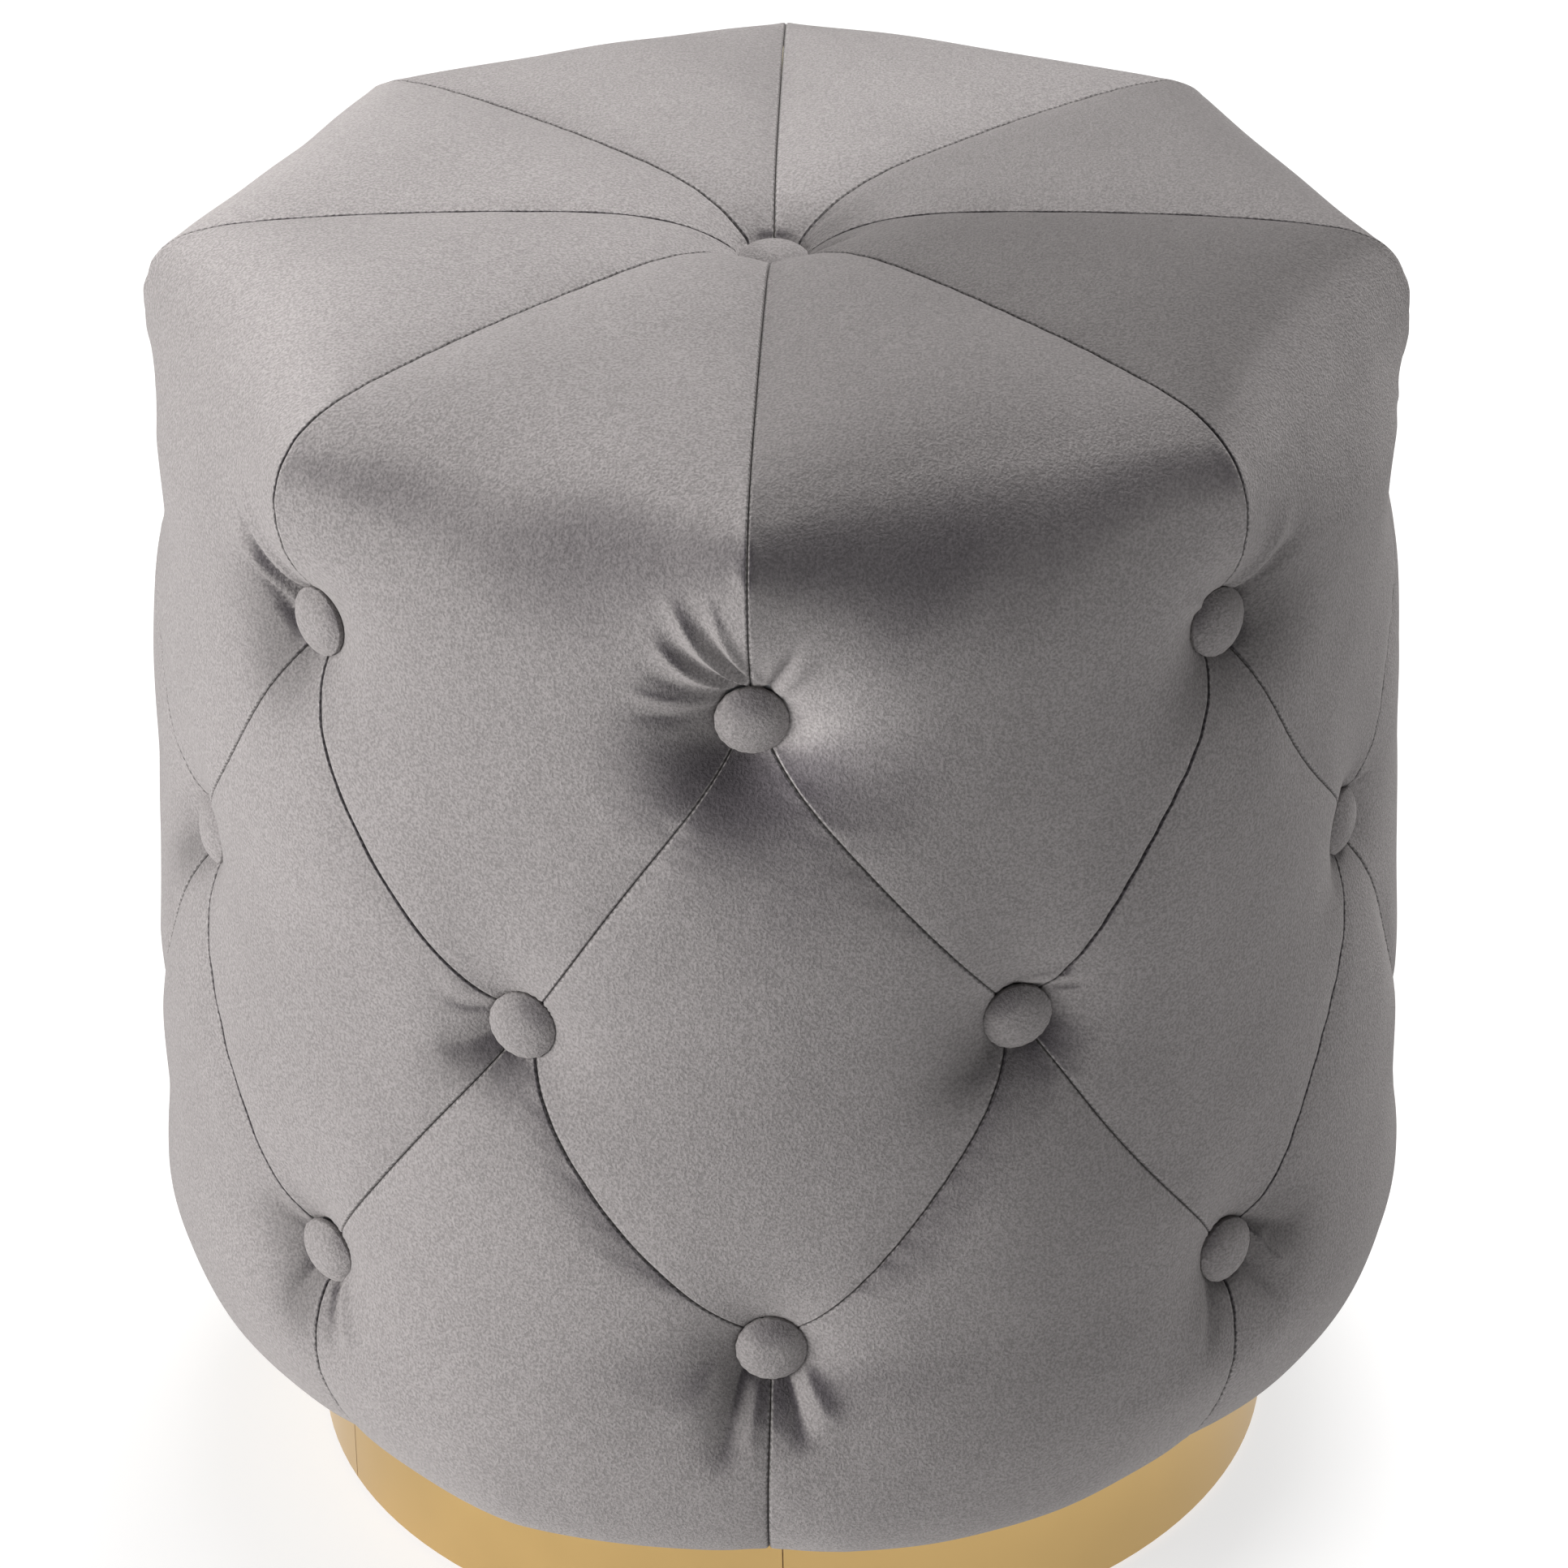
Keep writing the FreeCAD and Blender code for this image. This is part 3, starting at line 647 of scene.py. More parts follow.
FRONT_FOLDS: dict[tuple[str, int], list[Fold]] = {
    ("upper", 0): [
        Fold((1.0, 15.0), (-13.0, 44.0), 2.4, 1.4, 1.2),
        Fold((-0.5, 13.5), (-19.0, 43.0), -2.0, 1.5, 1.2),
        Fold((-1.5, 12.0), (-26.0, 42.0), 3.0, 1.5, 1.6),
        Fold((-5.0, 11.5), (-29.0, 35.0), -2.0, 1.7, 1.4),
        Fold((-8.0, 11.0), (-31.0, 28.0), 2.3, 1.5, 1.2),
        Fold((-10.0, 8.5), (-35.0, 20.0), -1.5, 1.8, 1.0),
        Fold((-12.0, 5.0), (-40.0, 11.0), 1.3, 1.6, 0.8),
        Fold((-12.0, 2.0), (-40.0, 4.0), -0.9, 2.0, 0.6),
        Fold((6.0, 10.0), (16.0, 29.0), -2.4, 1.2, 0.5),
        Fold((9.0, 9.0), (21.0, 25.0), 1.5, 1.8, 0.4),
    ],
    ("upper", 7): [
        Fold((-10.0, 6.0), (-38.0, 33.0), -3.2, 2.4, -3.0),
        Fold((-12.0, 2.0), (-34.0, 22.0), 2.5, 2.2, -2.0),
        Fold((-11.0, -2.0), (-36.0, 14.0), -3.5, 3.2, -2.0),
        Fold((-6.0, 11.0), (-36.0, 42.0), 1.9, 2.4, -3.0),
    ],
    ("upper", 1): [
        Fold((6.0, 9.0), (34.0, 34.0), 1.7, 3.0, 2.0),
        Fold((10.0, 5.0), (38.0, 24.0), -2.2, 3.0, 2.0),
        Fold((-10.0, 8.0), (-20.0, 18.0), 1.3, 2.4, 0.0),
    ],
    ("upper", 2): [
        Fold((-9.0, 8.0), (-24.0, 26.0), 0.9, 2.4, 0.6),
        Fold((-11.0, 4.0), (-28.0, 15.0), -0.9, 2.4, 0.6),
    ],
    ("upper", 6): [
        Fold((9.0, 8.0), (24.0, 26.0), 0.9, 2.4, -0.6),
        Fold((11.0, 4.0), (28.0, 15.0), -0.9, 2.4, -0.6),
    ],
    ("middle", 7): [
        Fold((-11.0, 4.0), (-30.0, 7.0), -1.0, 2.2, 1.0),
        Fold((-11.0, 8.0), (-28.0, 15.0), 0.7, 3.0, 0.8),
        Fold((-10.0, -6.0), (-28.0, -14.0), -1.2, 5.0, 0.0),
    ],
    ("middle", 0): [
        Fold((8.0, 8.5), (25.0, 8.5), -1.6, 1.1, 0.3),
        Fold((4.0, 12.0), (23.0, 12.0), 1.6, 2.4, 0.3),
        Fold((-9.0, -8.0), (-25.0, -19.0), -1.2, 5.0, 0.0),
    ],
    ("lower", 0): [
        Fold((-9.0, -8.0), (-15.0, -46.0), -2.6, 4.6, 0.0),
        Fold((-3.5, -11.0), (-5.5, -40.0), 1.0, 2.6, 0.0),
        Fold((-16.0, -4.0), (-30.0, -32.0), 0.8, 5.0, 0.0),
        Fold((5.5, -10.0), (11.0, -34.0), -2.0, 2.8, 0.6),
        Fold((11.0, -8.0), (21.0, -30.0), 1.3, 3.6, 0.6),
    ],
    ("lower", 1): [
        Fold((11.0, 1.0), (27.0, -16.0), 3.2, 2.2, -1.0),
        Fold((11.0, 6.0), (34.0, -4.0), -2.0, 3.0, -1.0),
        Fold((8.0, -7.0), (24.0, -30.0), -2.2, 3.4, 0.0),
        Fold((-8.0, -9.0), (-14.0, -34.0), -1.7, 3.0, 0.0),
    ],
    ("lower", 7): [
        Fold((5.0, -10.0), (10.0, -34.0), -2.6, 2.8, 0.0),
        Fold((9.5, -7.0), (18.0, -32.0), 2.2, 2.8, 0.0),
        Fold((-7.0, -9.0), (-14.0, -30.0), -1.7, 3.0, 0.0),
        Fold((-10.0, 4.0), (-26.0, 10.0), -1.7, 3.0, 0.0),
    ],
    ("top", 0): [
        Fold((-11.0, -4.0), (-34.0, -9.0), 1.0, 2.6, 0.6),
        Fold((9.0, -8.0), (30.0, -12.0), -1.2, 2.2, 0.8),
        Fold((6.0, -10.0), (22.0, -18.0), 0.9, 2.4, 0.8),
        Fold((8.0, 8.0), (24.0, 18.0), -1.0, 2.6, 0.0),
    ],
}


@dataclass(frozen=True)
class PaintedShading:
    """A patch beside a button where the velvet's tone is darkened as painted shade, or lightened as painted
    light when change is positive.

    place is to the button's right and up and size half its width and height, in millimetres.
    change is what it adds to the tone, and tilt how far it is turned, in degrees.
    """

    place: tuple[float, float]
    size: tuple[float, float]
    change: float
    tilt: float = 0.0

    def at(self, right: np.ndarray, up: np.ndarray) -> np.ndarray:
        """The change of tone at places beside the button."""
        cos, sin = math.cos(math.radians(self.tilt)), math.sin(math.radians(self.tilt))
        x, y = right - self.place[0], up - self.place[1]
        along, across = (x * cos + y * sin) / self.size[0], (y * cos - x * sin) / self.size[1]
        return self.change * np.exp(-(along**2) - across**2)


# Painted shade beside the buttons, mostly to the left of and below each, on the side of its dimple that is
# turned from the light. The front upper button also has painted light on its right, which faces the light.
# Buttons not listed at the front take their ring's usual patches.
UPPER_PAINTED_SHADING = [PaintedShading((-19.0, -2.0), (16.0, 14.0), -0.24), PaintedShading((-13.0, -20.0), (15.0, 12.0), -0.24, 10.0)]

PAINTED_SHADING: dict[str, list[PaintedShading]] = {
    "upper": UPPER_PAINTED_SHADING,
    "middle": [PaintedShading((-13.0, -13.0), (19.0, 10.0), -0.34, 35.0)],
    "lower": [PaintedShading((-8.0, -18.0), (11.0, 17.0), -0.36), PaintedShading((-17.0, 3.0), (13.0, 11.0), -0.2)],
    "top": [PaintedShading((17.0, 5.0), (14.0, 12.0), -0.32)],
}

FRONT_PAINTED_SHADING: dict[tuple[str, int], list[PaintedShading]] = {
    ("upper", 0): UPPER_PAINTED_SHADING + [
        PaintedShading((17.0, -13.0), (18.0, 14.0), 0.4),
        PaintedShading((27.0, -4.0), (26.0, 28.0), 0.24),
    ],
    ("upper", 1): [PaintedShading((19.0, -2.0), (22.0, 22.0), -0.42), PaintedShading((-13.0, -20.0), (15.0, 12.0), -0.2)],
    ("lower", 1): [PaintedShading((19.0, -4.0), (20.0, 20.0), -0.36), PaintedShading((-8.0, -18.0), (11.0, 17.0), -0.3)],
}

FRONT_BOWS: dict[tuple[Band, int, int], float] = {
    (Band.UPPER, 0, -1): 2.0,
    (Band.UPPER, 0, 1): 2.0,
    (Band.UPPER, 7, 1): 14.0,
    (Band.UPPER, 7, -1): 3.0,
    (Band.UPPER, 1, -1): 9.0,
    (Band.UPPER, 1, 1): 4.0,
    (Band.LOWER, 0, -1): 11.0,
    (Band.LOWER, 0, 1): 11.0,
    (Band.LOWER, 7, 1): 2.0,
    (Band.LOWER, 7, -1): 9.0,
    (Band.LOWER, 1, -1): 1.0,
    (Band.LOWER, 1, 1): 9.0,
}

STRAYS: dict[tuple[str, int], tuple[float, float]] = {
    ("upper", 0): (-0.5, -4.3),
    ("upper", 7): (-0.5, -1.4),
    ("upper", 1): (6.6, -2.7),
    ("middle", 7): (1.3, -5.5),
    ("middle", 0): (4.9, -2.5),
    ("middle", 6): (2.0, 4.0),
    ("middle", 1): (9.0, 3.0),
    ("lower", 0): (2.2, -0.7),
    ("lower", 7): (-2.9, -4.7),
    ("lower", 1): (6.9, -4.2),
}


@dataclass
class Tufting:
    """The buttons, whose places come from the frame, and the folds and the patches of painted shade and light
    beside them.

    stand is how far a button stands out from its seat, and crown_depth how far a seat is sunk
    below the cover, with corner_rise on top of it in the upper row. At a button's edge the cover
    is edge_lift less deep, and it rises over a distance of spread. These are in millimetres.
    fold_sizes are the least and most that a button's folds are made longer or shorter by, and
    fold_spread the same for each of its folds.
    """

    stand: float = 7.1
    crown_depth: float = 13.0
    corner_rise: float = 3.6
    edge_lift: float = 3.0
    spread: float = 17.0
    top_seam: float = 434.0
    top_edge_depth: float = 14.2
    top_spread: float = 18.0
    fold_sizes: tuple[float, float] = (0.75, 1.05)
    fold_spread: tuple[float, float] = (0.85, 1.1)
    seed: int = 11
    upper: list[Button] = field(init=False)
    middle: list[Button] = field(init=False)
    lower: list[Button] = field(init=False)
    top: Button = field(init=False)

    def __post_init__(self) -> None:
        """Reads the rows of buttons from the frame."""
        self.upper = self.row("upper_row_buttons", 0.0, self.crown_depth + self.corner_rise)
        self.middle = self.row("middle_row_buttons", HALF_PITCH, self.crown_depth)
        self.lower = self.row("lower_row_buttons", 0.0, self.crown_depth)
        seat = heights_of("top_button")[1] - self.stand
        depth = self.top_seam - seat
        self.top = Button(0.0, 0.0, self.top_seam, self.top_edge_depth, depth, self.top_spread)

    def row(self, node: str, first: float, depth: float) -> list[Button]:
        """One ring of buttons whose seats are a depth below the cover."""
        low, high = heights_of(node)
        radius = reach_of(node) - self.stand + depth
        edge_depth = depth - self.edge_lift
        places = [first + PITCH * index for index in range(PANELS)]
        return [Button(place, radius, (low + high) / 2, edge_depth, depth, self.spread) for place in places]

    def ring(self, name: str) -> list[Button]:
        """The buttons of a ring by its name."""
        return [self.top] if name == "top" else getattr(self, name)

    def strays(self) -> list[tuple[Button, tuple[float, float]]]:
        """The buttons that were set off their places, with how far to the right and up."""
        return [(self.ring(ring)[index], way) for (ring, index), way in STRAYS.items()]

    def folds(self) -> list[tuple[Button, list[Fold]]]:
        """Every button with the folds beside it: those at the front as seen, others alike."""
        draw = random.Random(self.seed)
        made = [(self.top, FRONT_FOLDS["top", 0])]
        for ring in ("upper", "middle", "lower"):
            for index, button in enumerate(self.ring(ring)):
                made.append((button, FRONT_FOLDS.get((ring, index)) or self.drawn_folds(draw, ring)))
        return made

    def drawn_folds(self, draw: random.Random, ring: str) -> list[Fold]:
        """Folds for a button that the front doesn't show, much like those of its ring that it does."""
        known = [folds for (name, _), folds in FRONT_FOLDS.items() if name == ring]
        folds = draw.choice(known)
        flip = draw.choice((-1.0, 1.0))
        size = draw.uniform(*self.fold_sizes)
        return [fold.varied(flip, size * draw.uniform(*self.fold_spread)) for fold in folds]

    def painted_shading(self) -> list[tuple[Button, list[PaintedShading]]]:
        """Every button with the patches of painted shade and light beside it."""
        made = []
        for ring, usual in PAINTED_SHADING.items():
            for index, button in enumerate(self.ring(ring)):
                made.append((button, FRONT_PAINTED_SHADING.get((ring, index), usual)))
        return made


@dataclass
class Settling:
    """How the made pouf strays from its true form: hand-set buttons and slumped padding.

    reach is how far a stray button moves the cover round it. sides holds a height and how much
    further out the left and the right side stand there, where the cover is side_radius off the
    axis. hem_draw holds an azimuth in degrees and how much further in the hem is drawn there.
    The hem drops by hem_drop up to hem_level, and less and less over hem_fade above it. At the
    back the top drops by back_drop and shifts by back_shift, in full at back_reach behind the
    middle. back_rise is the height from which it does so and how much higher that is in full.
    """

    tufting: Tufting
    reach: float = 45.0
    sides: tuple[tuple[float, float, float], ...] = (
        (62.0, 0.0, -1.0), (95.0, 0.7, -2.0), (110.0, 2.0, -1.0), (140.0, 2.6, 0.5), (190.0, 4.2, 0.0),
        (220.0, 2.5, -0.5), (250.0, 1.5, -1.5), (290.0, 1.0, -1.8), (330.0, 0.0, -0.6), (350.0, -1.0, 0.0),
        (374.0, 0.0, 2.0), (388.0, -1.6, -0.6), (400.0, -3.3, -3.1), (412.0, -2.5, -2.5), (424.0, 0.5, 0.5),
        (434.0, 1.5, 1.5),
    )
    side_radius: float = 200.0
    hem_draw: Pairs = (
        (-180.0, 5.0), (-90.0, 8.0), (-60.0, 9.0), (-45.0, 9.0), (-24.0, 1.0), (0.0, 2.0),
        (7.0, 1.0), (23.0, 4.0), (43.0, 9.0), (60.0, 9.0), (90.0, 8.0), (180.0, 5.0),
    )
    hem_drop: float = 4.0
    hem_level: float = 62.0
    hem_fade: float = 45.0
    back_reach: float = 190.0
    back_rise: tuple[float, float] = (300.0, 100.0)
    back_drop: float = 4.5
    back_shift: float = 2.6

    def settle(self, points: np.ndarray) -> np.ndarray:
        """Moves points of the true form to where they came to lie."""
        azimuth = np.arctan2(points[..., 0], -points[..., 1])
        radius = np.hypot(points[..., 0], points[..., 1])
        height = points[..., 2].copy()
        turn, rise = np.zeros_like(height), np.zeros_like(height)
        for button, (right, up) in self.tufting.strays():
            across = half_turn(azimuth - button.azimuth) * button.radius
            weight = np.exp(-(across**2 + (height - button.height) ** 2) / self.reach**2)
            turn += weight * right / button.radius
            rise += weight * up
        levels, left, right = np.array(self.sides).T
        swell = np.where(azimuth < 0, np.interp(height, levels, left), np.interp(height, levels, right))
        outer = (radius / self.side_radius) ** 2
        low = 1.0 - fade(height, self.hem_level, self.hem_fade)
        draw = np.interp(np.degrees(azimuth), *np.array(self.hem_draw).T)
        radius = radius + swell * np.sin(azimuth) ** 4 * outer - draw * low
        behind = np.clip(points[..., 1] / self.back_reach, 0.0, 1.0) * fade(height, *self.back_rise)
        height = height + rise - self.hem_drop * low - self.back_drop * behind
        moved = polar(azimuth + turn, radius, height)
        moved[..., 0] -= self.back_shift * behind
        return moved


@dataclass
class Swelling:
    """Cloth simulation of the stuffed cover: each panel is sewn down all round and blown up.

    stride and cells say how coarse its grids are. slack is the share by which the cloth is cut
    larger than the form that it lies on. Of the push that comes out, no more than cap is kept,
    then a share of it, evened out a number of times. Where the form is sunk deeper than
    held_depth, the cloth is held. Depths and distances are in millimetres.
    """

    stride: int = 5
    cells: int = 26
    quality: int = 6
    mass: float = 0.15
    stretching: float = 12.0
    shearing: float = 4.0
    bending: float = 2.0
    pressure: float = 4.0
    slack: float = 0.0015
    frames: int = 20
    cap: float = 2.0
    share: float = 0.35
    passes: int = 3
    held_depth: float = 5.5

    def lattice(self, grids: list[np.ndarray], held: list[np.ndarray]) -> bpy.types.Object:
        """Builds one mesh of all panels, with the sewn places in a vertex group."""
        made = placed("swelling", laid_mesh("swelling", grids))
        group = made.vertex_groups.new(name="sewn")
        sewn = np.flatnonzero(np.concatenate([mask.ravel() for mask in held]))
        group.add([int(index) for index in sewn], 1.0, "REPLACE")
        return made

    def blow_up(self, lattice: bpy.types.Object) -> np.ndarray:
        """Runs the simulation and returns every point's place, in millimetres."""
        cloth = lattice.modifiers.new("cloth", "CLOTH")
        settings = cloth.settings
        settings.quality = self.quality
        settings.mass = self.mass
        settings.tension_stiffness = settings.compression_stiffness = self.stretching
        settings.shear_stiffness = self.shearing
        settings.bending_stiffness = self.bending
        settings.shrink_min = -self.slack
        settings.use_pressure = True
        settings.uniform_pressure_force = self.pressure
        settings.vertex_group_mass = "sewn"
        settings.effector_weights.gravity = 0.0
        cloth.collision_settings.use_collision = False
        cloth.point_cache.frame_start = 1
        cloth.point_cache.frame_end = self.frames
        scene = bpy.context.scene
        for number in range(1, self.frames + 1):
            scene.frame_set(number)
        shape = lattice.evaluated_get(bpy.context.evaluated_depsgraph_get()).data
        places = np.empty(len(shape.vertices) * 3, dtype=np.float32)
        shape.vertices.foreach_get("co", places)
        scene.frame_set(1)
        mesh = lattice.data
        bpy.data.objects.remove(lattice)
        bpy.data.meshes.remove(mesh)
        return places.reshape(-1, 3) / MM

    def run(self, panels: list[dict[str, np.ndarray]]) -> list[np.ndarray]:
        """How far each panel's coarse grid is pushed out.

        Args:
            panels: what the cover worked out for each coarse grid.

        Returns:
            One grid of distances for each panel.
        """
        grids = [panel["points"] for panel in panels]
        held = []
        for panel in panels:
            mask = panel["depth"] > self.held_depth
            mask[[0, -1], :] = True
            mask[:, [0, -1]] = True
            held.append(mask)
        places = self.blow_up(self.lattice(grids, held))
        pushes = []
        start = 0
        for grid, panel in zip(grids, panels):
            count = grid.shape[0] * grid.shape[1]
            moved = places[start:start + count].reshape(grid.shape) - grid
            push = (moved * panel["facing"]).sum(-1)
            pushes.append(self.share * self.smoothed(self.cap * np.tanh(push / self.cap)))
            start += count
        return pushes

    def smoothed(self, push: np.ndarray) -> np.ndarray:
        """Evens out small ripples and leaves the sewn edges where they are."""
        for _ in range(self.passes):
            push = evened(evened(push).T).T
        return push

    def spread(
        self, push: np.ndarray, rows: np.ndarray, columns: np.ndarray, fine: tuple[np.ndarray, np.ndarray]
    ) -> np.ndarray:
        """Reads a coarse grid of distances at the places of a fine one."""
        tall = spline(rows, push, fine[0])
        return spline(columns, tall.T, fine[1]).T


# Gathers beside a seam: how fast one wave turns along z and x, and the other along z and y.
PUCKER_WAVES = ((0.55, 0.31), (0.21, -0.47))

# Slow swells of the padding: how fast each turns along x, y and z, and where it starts.
SWELL_WAVES = (
    (0.061, 0.043, 0.055, 0.3),
    (-0.049, 0.071, 0.037, 1.7),
    (0.083, -0.059, -0.078, 4.1),
    (0.11, 0.09, -0.12, 2.2),
)


@dataclass
class Cover:
    """The velvet cover: eight top petals, eight diamonds and eight skirt panels.

    The shoulder and skirt lines are pairs of how far a place lies inside the widest radius and
    how far below the top seam or above the hem. A valley is a seam's depth and its width, and a
    pair that is named fade or lean is where a change starts and over what length it goes.
    petal_tones are how light each petal looks on top. usual_bow, bow_stray and bow_phase make
    the bow of a seam that the front doesn't show. fork is the share of a tapering part over which
    its valley turns from the upright to the slanting one, and slant how much nearer a slanting
    seam is than it looks along a row. union is the power by which seams and buttons join their
    depths. pucker and wave_height are how high gathers and slow swells are, and each reach how
    far from a seam or a button something counts. Lengths are in millimetres, leans in radians.
    """

    tufting: Tufting
    settling: Settling
    swelling: Swelling
    finish: VelvetFinish
    corner_radius: float = 204.6
    shoulder_seam: Pairs = (
        (4.3, 74.4), (2.6, 60.0), (1.0, 46.0), (0.4, 35.0), (1.8, 26.0), (6.1, 18.0), (13.1, 11.5),
        (22.6, 7.0), (36.6, 4.0), (54.6, 2.2), (99.6, 0.0), (144.6, -0.2), (174.6, -0.1), (192.6, 0.0),
        (200.6, 0.0),
    )
    shoulder_crown: Pairs = (
        (8.3, 74.4), (8.8, 60.5), (10.8, 47.0), (14.1, 35.0), (18.8, 24.5), (25.6, 15.5), (34.1, 8.0),
        (44.1, 3.0), (55.6, 0.2), (69.6, -1.6), (108.6, -3.0), (149.3, -2.6), (177.0, -1.6),
        (193.6, -0.8), (200.9, -0.3),
    )
    hem_bulge: float = 207.6
    hem_height: float = 61.6
    skirt_seam: Pairs = (
        (33.4, 0.1), (27.6, 0.1), (20.6, 0.7), (12.6, 4.9), (6.1, 14.4), (2.2, 30.4), (1.4, 46.4),
        (1.3, 65.4), (2.6, 79.7),
    )
    skirt_crown: Pairs = (
        (46.6, 0.0), (29.6, 0.0), (17.6, 0.6), (8.6, 4.9), (2.8, 14.4), (0.3, 30.4), (0.0, 46.4),
        (0.6, 64.9), (2.6, 79.7),
    )
    slant_valley: tuple[float, float] = (2.8, 11.0)
    upright_valley: tuple[float, float] = (2.2, 9.0)
    top_valley: tuple[float, float] = (1.3, 6.0)
    shoulder_length: float = 66.0
    top_fade: tuple[float, float] = (25.0, 60.0)
    skirt_fade: tuple[float, float] = (15.0, 60.0)
    groove_depth: float = 0.5
    groove_width: float = 0.32
    seam_gap: float = 0.12
    row_step: float = 1.4
    top_row_step: float = 2.4
    fine_step: float = 0.3
    step_growth: float = 0.15
    widest_step: float = 1.25
    half_width: float = 76.0
    # Partly the nap's cut and partly painted light and shade: the petals on the left are mostly lighter and
    # those on the right darker, as less light falls on the right.
    petal_tones: tuple[float, ...] = (0.75, 0.53, 0.81, 1.14, 1.08, 1.23, 1.18, 1.04)
    tone_lean: tuple[float, float] = (0.5, 0.8)
    flat_lean: tuple[float, float] = (1.2, 0.3)
    lean_step: float = 0.5
    thickness: float = 4.0
    backing_columns: int = 12
    usual_bow: float = 5.0
    bow_stray: float = 3.5
    bow_phase: tuple[float, float] = (2.3, 3.0)
    tip_start: float = 0.03
    fork: float = 0.3
    union: float = 3.0
    slant: float = 0.82
    roundness: float = 0.8
    soft_reach: float = 4.0
    wave_height: float = 0.13
    wave_reach: float = 9.0
    pucker: float = 0.16
    pucker_reach: float = 5.0
    fold_rise: float = 1.5
    mark_reach: float = 60.0

    def columns(self) -> np.ndarray:
        """Places across a panel from -1 to 1, close together near the seams."""
        steps = [0.0]
        while steps[-1] < self.half_width:
            steps.append(steps[-1] + min(self.fine_step + self.step_growth * steps[-1], self.widest_step))
        half = np.array(steps) / steps[-1]
        return np.concatenate([half - 1.0, (1.0 - half[:-1])[::-1]])

    def diagonal(self, band: Band, index: int, side: int) -> Diagonal:
        """A slanting seam, by the button of the outer row that it ends at."""
        middle = self.tufting.middle[(index - (side < 0)) % PANELS]
        outer = (self.tufting.upper if band is Band.UPPER else self.tufting.lower)[index % PANELS]
        near = outer.azimuth + side * HALF_PITCH
        middle = replace(middle, azimuth=near)
        phase = self.bow_phase[0] * index + side + (self.bow_phase[1] if band is Band.UPPER else 0.0)
        usual = self.usual_bow + self.bow_stray * math.sin(phase)
        bow = FRONT_BOWS.get((band, index % PANELS, side), usual)
        return Diagonal(outer, middle, bow) if band is Band.UPPER else Diagonal(middle, outer, bow)

    def seams(self, band: Band, ends: tuple[tuple[int, int], ...], azimuth: float) -> tuple[Diagonal, ...]:
        """A panel's left and right seam.

        Args:
            band: the ring of seams that they belong to.
            ends: for each the index of its button in the outer row and the side that it leaves by.
            azimuth: the panel's middle, which the seams' azimuths lie within half a turn of.

        Returns:
            The two seams.
        """
        made = []
        for index, side in ends:
            seam = self.diagonal(band, index, side)
            near = [azimuth + half_turn(end.azimuth - azimuth) for end in (seam.upper, seam.lower)]
            upper, lower = replace(seam.upper, azimuth=near[0]), replace(seam.lower, azimuth=near[1])
            made.append(Diagonal(upper, lower, seam.bow))
        return tuple(made)

    def taper(
        self, tip: Button, seams: tuple[Diagonal, ...], wide: float, rising: bool, joined: bool
    ) -> Rows:
        """The rows of a panel's narrowing part.

        Args:
            tip: the button at its tip.
            seams: its left and right seam.
            wide: the radius of its middle where it is widest.
            rising: whether it widens upwards.
            joined: whether upright seams carry on from its wide end.

        Returns:
            Its rows, from its lower end up.
        """
        height = abs(seams[0].upper.height - seams[0].lower.height)
        share = np.linspace(self.tip_start, 1.0, int(height / self.row_step))
        down = 1.0 - share if rising else share
        left, right = (seam.at(down) for seam in seams)
        middle = (left + right) / 2
        middle[:, 1] = blend(tip.radius, wide, blend(share, share * (2.0 - share), self.roundness))
        outer = ease((1.0 - share if joined else share) / self.fork)[:, None]
        valley = blend(np.array(self.upright_valley), np.array(self.slant_valley), outer)
        slant = blend(1.0, self.slant, outer[:, 0] if joined else np.ones(len(share)))
        rows = Rows(left, right, middle, np.zeros((len(share), 2)), valley, slant)
        order = slice(None) if rising else slice(None, None, -1)
        return rows.picked(order)

    def lines(
        self,
        azimuth: float,
        seam: np.ndarray,
        crown: np.ndarray,
        where: np.ndarray,
        valleys: tuple[tuple[float, float], tuple[float, float]],
        change: tuple[float, float],
    ) -> Rows:
        """The rows of a panel's part between two upright seams.

        Args:
            azimuth: its middle.
            seam: radius and height of its seams, one row for each knot.
            crown: the same of its middle.
            where: distances along the seam at which the rows lie.
            valleys: the seam's valley at the lowest row and at the highest.
            change: where the valley starts to change and over what length.

        Returns:
            The rows.
        """
        knots = self.knots(seam)
        valley = blend(np.array(valleys[0]), np.array(valleys[1]), fade(where, *change)[:, None])
        leans = []
        for line in (seam, crown):
            ahead = spline(knots, line, np.minimum(where + self.lean_step, knots[-1]))
            behind = spline(knots, line, np.maximum(where - self.lean_step, 0))
            leans.append(np.arctan2(behind[:, 0] - ahead[:, 0], ahead[:, 1] - behind[:, 1]))
        rows = []
        for side, line in ((-HALF_PITCH, seam), (HALF_PITCH, seam), (0.0, crown)):
            rows.append(np.column_stack([np.full(len(where), azimuth + side), spline(knots, line, where)]))
        return Rows(*rows, np.column_stack(leans), valley, np.ones(len(where)))

    def knots(self, line: np.ndarray) -> np.ndarray:
        """How far along a line of radius and height each of its places lies."""
        return travelled(np.hypot(*np.diff(line, axis=0).T))

    def shoulder(self, pairs: Pairs) -> np.ndarray:
        """Radius and height of the places of a shoulder line."""
        return np.array([(self.corner_radius - inset, self.tufting.top_seam - drop) for inset, drop in pairs])

    def skirt(self, pairs: Pairs) -> np.ndarray:
        """Radius and height of the places of a skirt line."""
        return np.array([(self.hem_bulge - inset, self.hem_height + rise) for inset, rise in pairs])

